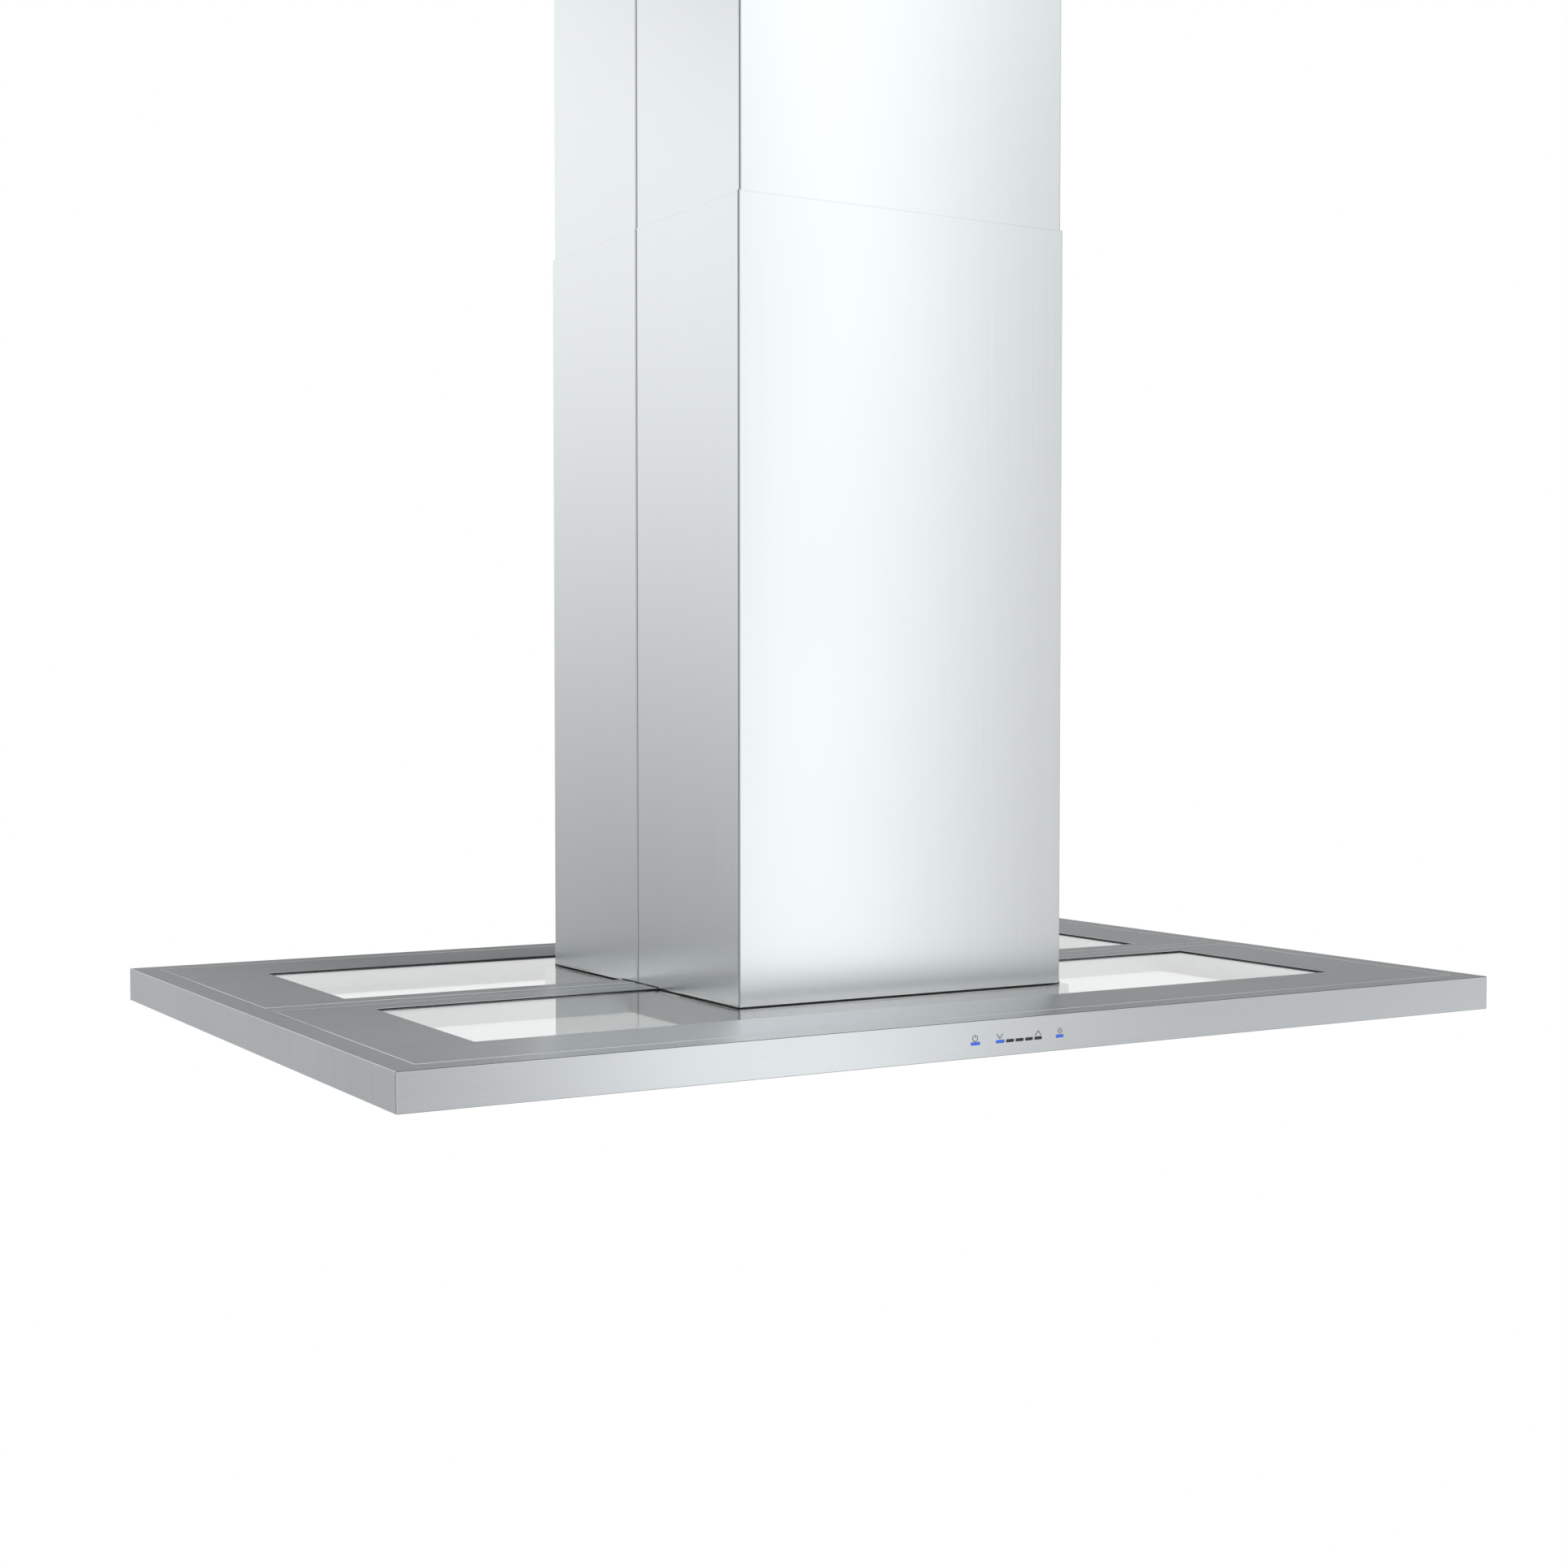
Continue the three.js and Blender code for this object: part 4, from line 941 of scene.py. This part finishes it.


# The studio's brightness in three bands of elevation, as (degrees from +Y towards +X, brightness). They
# were set by comparing renders with the photo, so they suit its viewpoint best.
LOW_BAND = [
    (-180, 0.62), (-140, 0.66), (-116, 0.60), (-100, 0.25), (-80, 0.25), (-62, 0.55), (-40, 0.52),
    (-29, 0.42), (-25, 0.27), (-22, 0.48), (-16, 0.98), (-6, 0.98), (10, 0.84), (25, 0.78), (60, 0.70),
    (100, 0.66), (131, 0.75), (138, 0.58), (141, 0.50), (143.5, 0.66), (146, 1.06), (148.5, 1.38),
    (150.5, 1.32), (152.5, 0.92), (155, 0.46), (158, 0.34), (163, 0.38), (180, 0.62),
]
MIDDLE_BAND = [
    (-180, 0.75), (-140, 0.80), (-116, 0.70), (-100, 0.25), (-80, 0.25), (-62, 0.80), (-45, 0.98),
    (-27, 1.08), (-12, 1.00), (5, 0.85), (20, 0.72), (41, 0.72), (50, 0.60), (70, 0.64), (110, 0.68),
    (138, 0.64), (142, 0.74), (144.5, 0.94), (146.5, 1.28), (148.5, 1.48), (150.5, 1.16), (152.5, 0.86),
    (156, 0.72), (163, 0.66), (180, 0.75),
]
HIGH_BAND = [
    (-180, 0.55), (-120, 0.50), (-60, 0.30), (-34, 0.32), (-25, 0.75), (-20, 1.35), (-8, 1.5), (3, 1.1),
    (11, 0.35), (17, 0.11), (88, 0.11), (99, 1.2), (113, 1.2), (124, 0.45), (134, 0.50), (143, 1.15),
    (150, 1.50), (158, 0.90), (180, 0.55),
]
# Degrees of elevation between which one band changes into the next.
LOW_TO_MIDDLE = (-10, 14)
MIDDLE_TO_HIGH = (13, 24)
HIGH_TO_OVERHEAD = (64, 80)
OVERHEAD = 0.4  # brightness straight overhead
MATT_LIGHT = 0.85  # what matt surfaces see
GLASS_LIGHT = 1.05  # what the glass mirrors directly
REPEAT_LIGHT = 0.85  # what repeated reflections keep of the brightness
REPEAT_RISE = 0.4  # and how far they go from the low band to the middle one
# The sky counts a ray's bounces and one more, so this lies between one bounce and two.
FIRST_BOUNCE = 2.5


class Sky(Nodes):
    """The nodes of the studio around the object."""

    def __init__(self):
        world = bpy.data.worlds.new("studio")
        bpy.context.scene.world = world
        world.use_nodes = True
        super().__init__(world.node_tree)
        self.tree.nodes.clear()

    def band(self, turn, stops):
        """Brightness by azimuth, from a list of stops. The ramp holds half of it, as it ends at 1."""
        ramp = self.node("ShaderNodeValToRGB")
        ramp.color_ramp.interpolation = "CARDINAL"
        elements = ramp.color_ramp.elements
        while len(elements) < len(stops):
            elements.new(1.0)
        for element, (degrees, bright) in zip(elements, stops):
            element.position = (degrees + 180) / 360
            element.color = (bright / 2, bright / 2, bright / 2, 1)
        self.link(turn, ramp.inputs["Fac"])
        return self.math("MULTIPLY", ramp.outputs["Color"], 2.0)

    def step(self, value, start, end):
        """0 below start and 1 above end, in degrees of elevation, with a soft change between."""
        made = self.node("ShaderNodeMapRange", interpolation_type="SMOOTHSTEP")
        made.inputs["From Min"].default_value = math.radians(start)
        made.inputs["From Max"].default_value = math.radians(end)
        self.link(value, made.inputs["Value"])
        return made.outputs[0]


def make_world():
    """The studio: white to the camera and through glass, even for matt surfaces, and in bands for gloss.

    The glass, which alone is mirror-smooth, shows an even white where it reflects the studio directly.
    What is reflected twice or more shows a slightly dimmer studio, with more of the low band in it.
    """
    sky = Sky()
    direction = sky.node("ShaderNodeSeparateXYZ")
    sky.link(sky.node("ShaderNodeTexCoord").outputs["Generated"], direction.inputs[0])
    x, y, z = direction.outputs
    turn = sky.math("ADD", sky.math("DIVIDE", sky.math("ARCTAN2", x, y), 2 * math.pi), 0.5)
    elevation = sky.math("ARCSINE", z)
    low = sky.band(turn, LOW_BAND)
    middle = sky.band(turn, MIDDLE_BAND)
    high = sky.band(turn, HIGH_BAND)
    path = sky.node("ShaderNodeLightPath")
    bounces = sky.math("SUBTRACT", path.outputs["Ray Depth"], path.outputs["Transmission Depth"])
    first = sky.math("LESS_THAN", bounces, FIRST_BOUNCE)
    raised = sky.math("MULTIPLY", sky.step(elevation, *LOW_TO_MIDDLE), sky.mix(first, REPEAT_RISE, 1.0))
    lower_half = sky.mix(raised, low, middle)
    whole = sky.mix(sky.step(elevation, *MIDDLE_TO_HIGH), lower_half, high)
    mirrored = sky.mix(sky.step(elevation, *HIGH_TO_OVERHEAD), whole, OVERHEAD)
    seen = sky.math("MAXIMUM", path.outputs["Is Camera Ray"], path.outputs["Is Transmission Ray"])
    sharp = path.outputs["Is Singular Ray"]
    in_glass = sky.math("MULTIPLY", sharp, first)
    direct = sky.math("MAXIMUM", sharp, first)
    glossy = sky.math("MULTIPLY", mirrored, sky.mix(direct, REPEAT_LIGHT, 1.0))
    lit = sky.mix(path.outputs["Is Diffuse Ray"], glossy, MATT_LIGHT)
    shown = sky.mix(seen, sky.mix(in_glass, lit, GLASS_LIGHT), 1.0)
    background = sky.node("ShaderNodeBackground")
    background.inputs["Color"].default_value = (1, 1, 1, 1)
    sky.link(shown, background.inputs["Strength"])
    output = sky.node("ShaderNodeOutputWorld")
    sky.link(background.outputs[0], output.inputs["Surface"])


def make_light():
    """One large soft light over the front left, which isn't seen in reflections."""
    data = bpy.data.lights.new("key_light", "AREA")
    data.shape = "RECTANGLE"
    data.size = KEY_WIDTH
    data.size_y = KEY_HEIGHT
    data.energy = KEY_ENERGY
    light = bpy.data.objects.new("key_light", data)
    bpy.context.scene.collection.objects.link(light)
    light.location = KEY_PLACE
    target = Vector((0, 0, TOP))
    light.rotation_euler = (target - light.location).to_track_quat("-Z", "Y").to_euler()
    light.visible_glossy = False
    light.visible_transmission = False


def make_floor():
    """A plain pale floor under the hood, which fades out at its border."""
    shape = bmesh.new()
    bmesh.ops.create_circle(shape, cap_ends=True, radius=FLOOR_RADIUS, segments=96)
    bmesh.ops.translate(shape, vec=(0, 0, BOTTOM - FLOOR_DROP), verts=shape.verts)
    mesh = bpy.data.meshes.new("floor")
    shape.to_mesh(mesh)
    shape.free()
    floor = bpy.data.objects.new("floor", mesh)
    bpy.context.scene.collection.objects.link(floor)
    g = Graph("floor")
    cloud = g.noise((3, 3, 3), detail=3)
    g.colour(g.spread(cloud, 0, 1), (0.80, 0.80, 0.80), (0.84, 0.84, 0.84))
    g.roughness(cloud, 0.55, 0.65)
    distance = g.node("ShaderNodeVectorMath", operation="LENGTH")
    flat = g.node("ShaderNodeVectorMath", operation="MULTIPLY")
    flat.inputs[1].default_value = (1, 1, 0)
    g.link(g.place, flat.inputs[0])
    g.link(flat.outputs[0], distance.inputs[0])
    fade = g.node("ShaderNodeMapRange", interpolation_type="SMOOTHSTEP")
    fade.inputs["From Min"].default_value = FLOOR_RADIUS * FLOOR_SOLID
    fade.inputs["From Max"].default_value = FLOOR_RADIUS * FLOOR_GONE
    fade.inputs["To Min"].default_value = 1.0
    fade.inputs["To Max"].default_value = 0.0
    g.link(distance.outputs["Value"], fade.inputs["Value"])
    g.link(fade.outputs[0], g.shader.inputs["Alpha"])
    mesh.materials.append(g.material)


bpy.context.scene.view_settings.view_transform = "Standard"
make_camera()
make_world()
make_light()
make_floor()
dress_cad_nodes()
control_symbols()
underside_screws()
rail_screws()
frame_screws()
lamp_bezels()
chimney_foot()
seam_shade_strips()
panel_seals()
window_edge_shadows()
filter_fittings()
blower_fittings()
capacitor_fittings()
duct_fittings()
damper_seals()
height_nuts()
cover_screws()
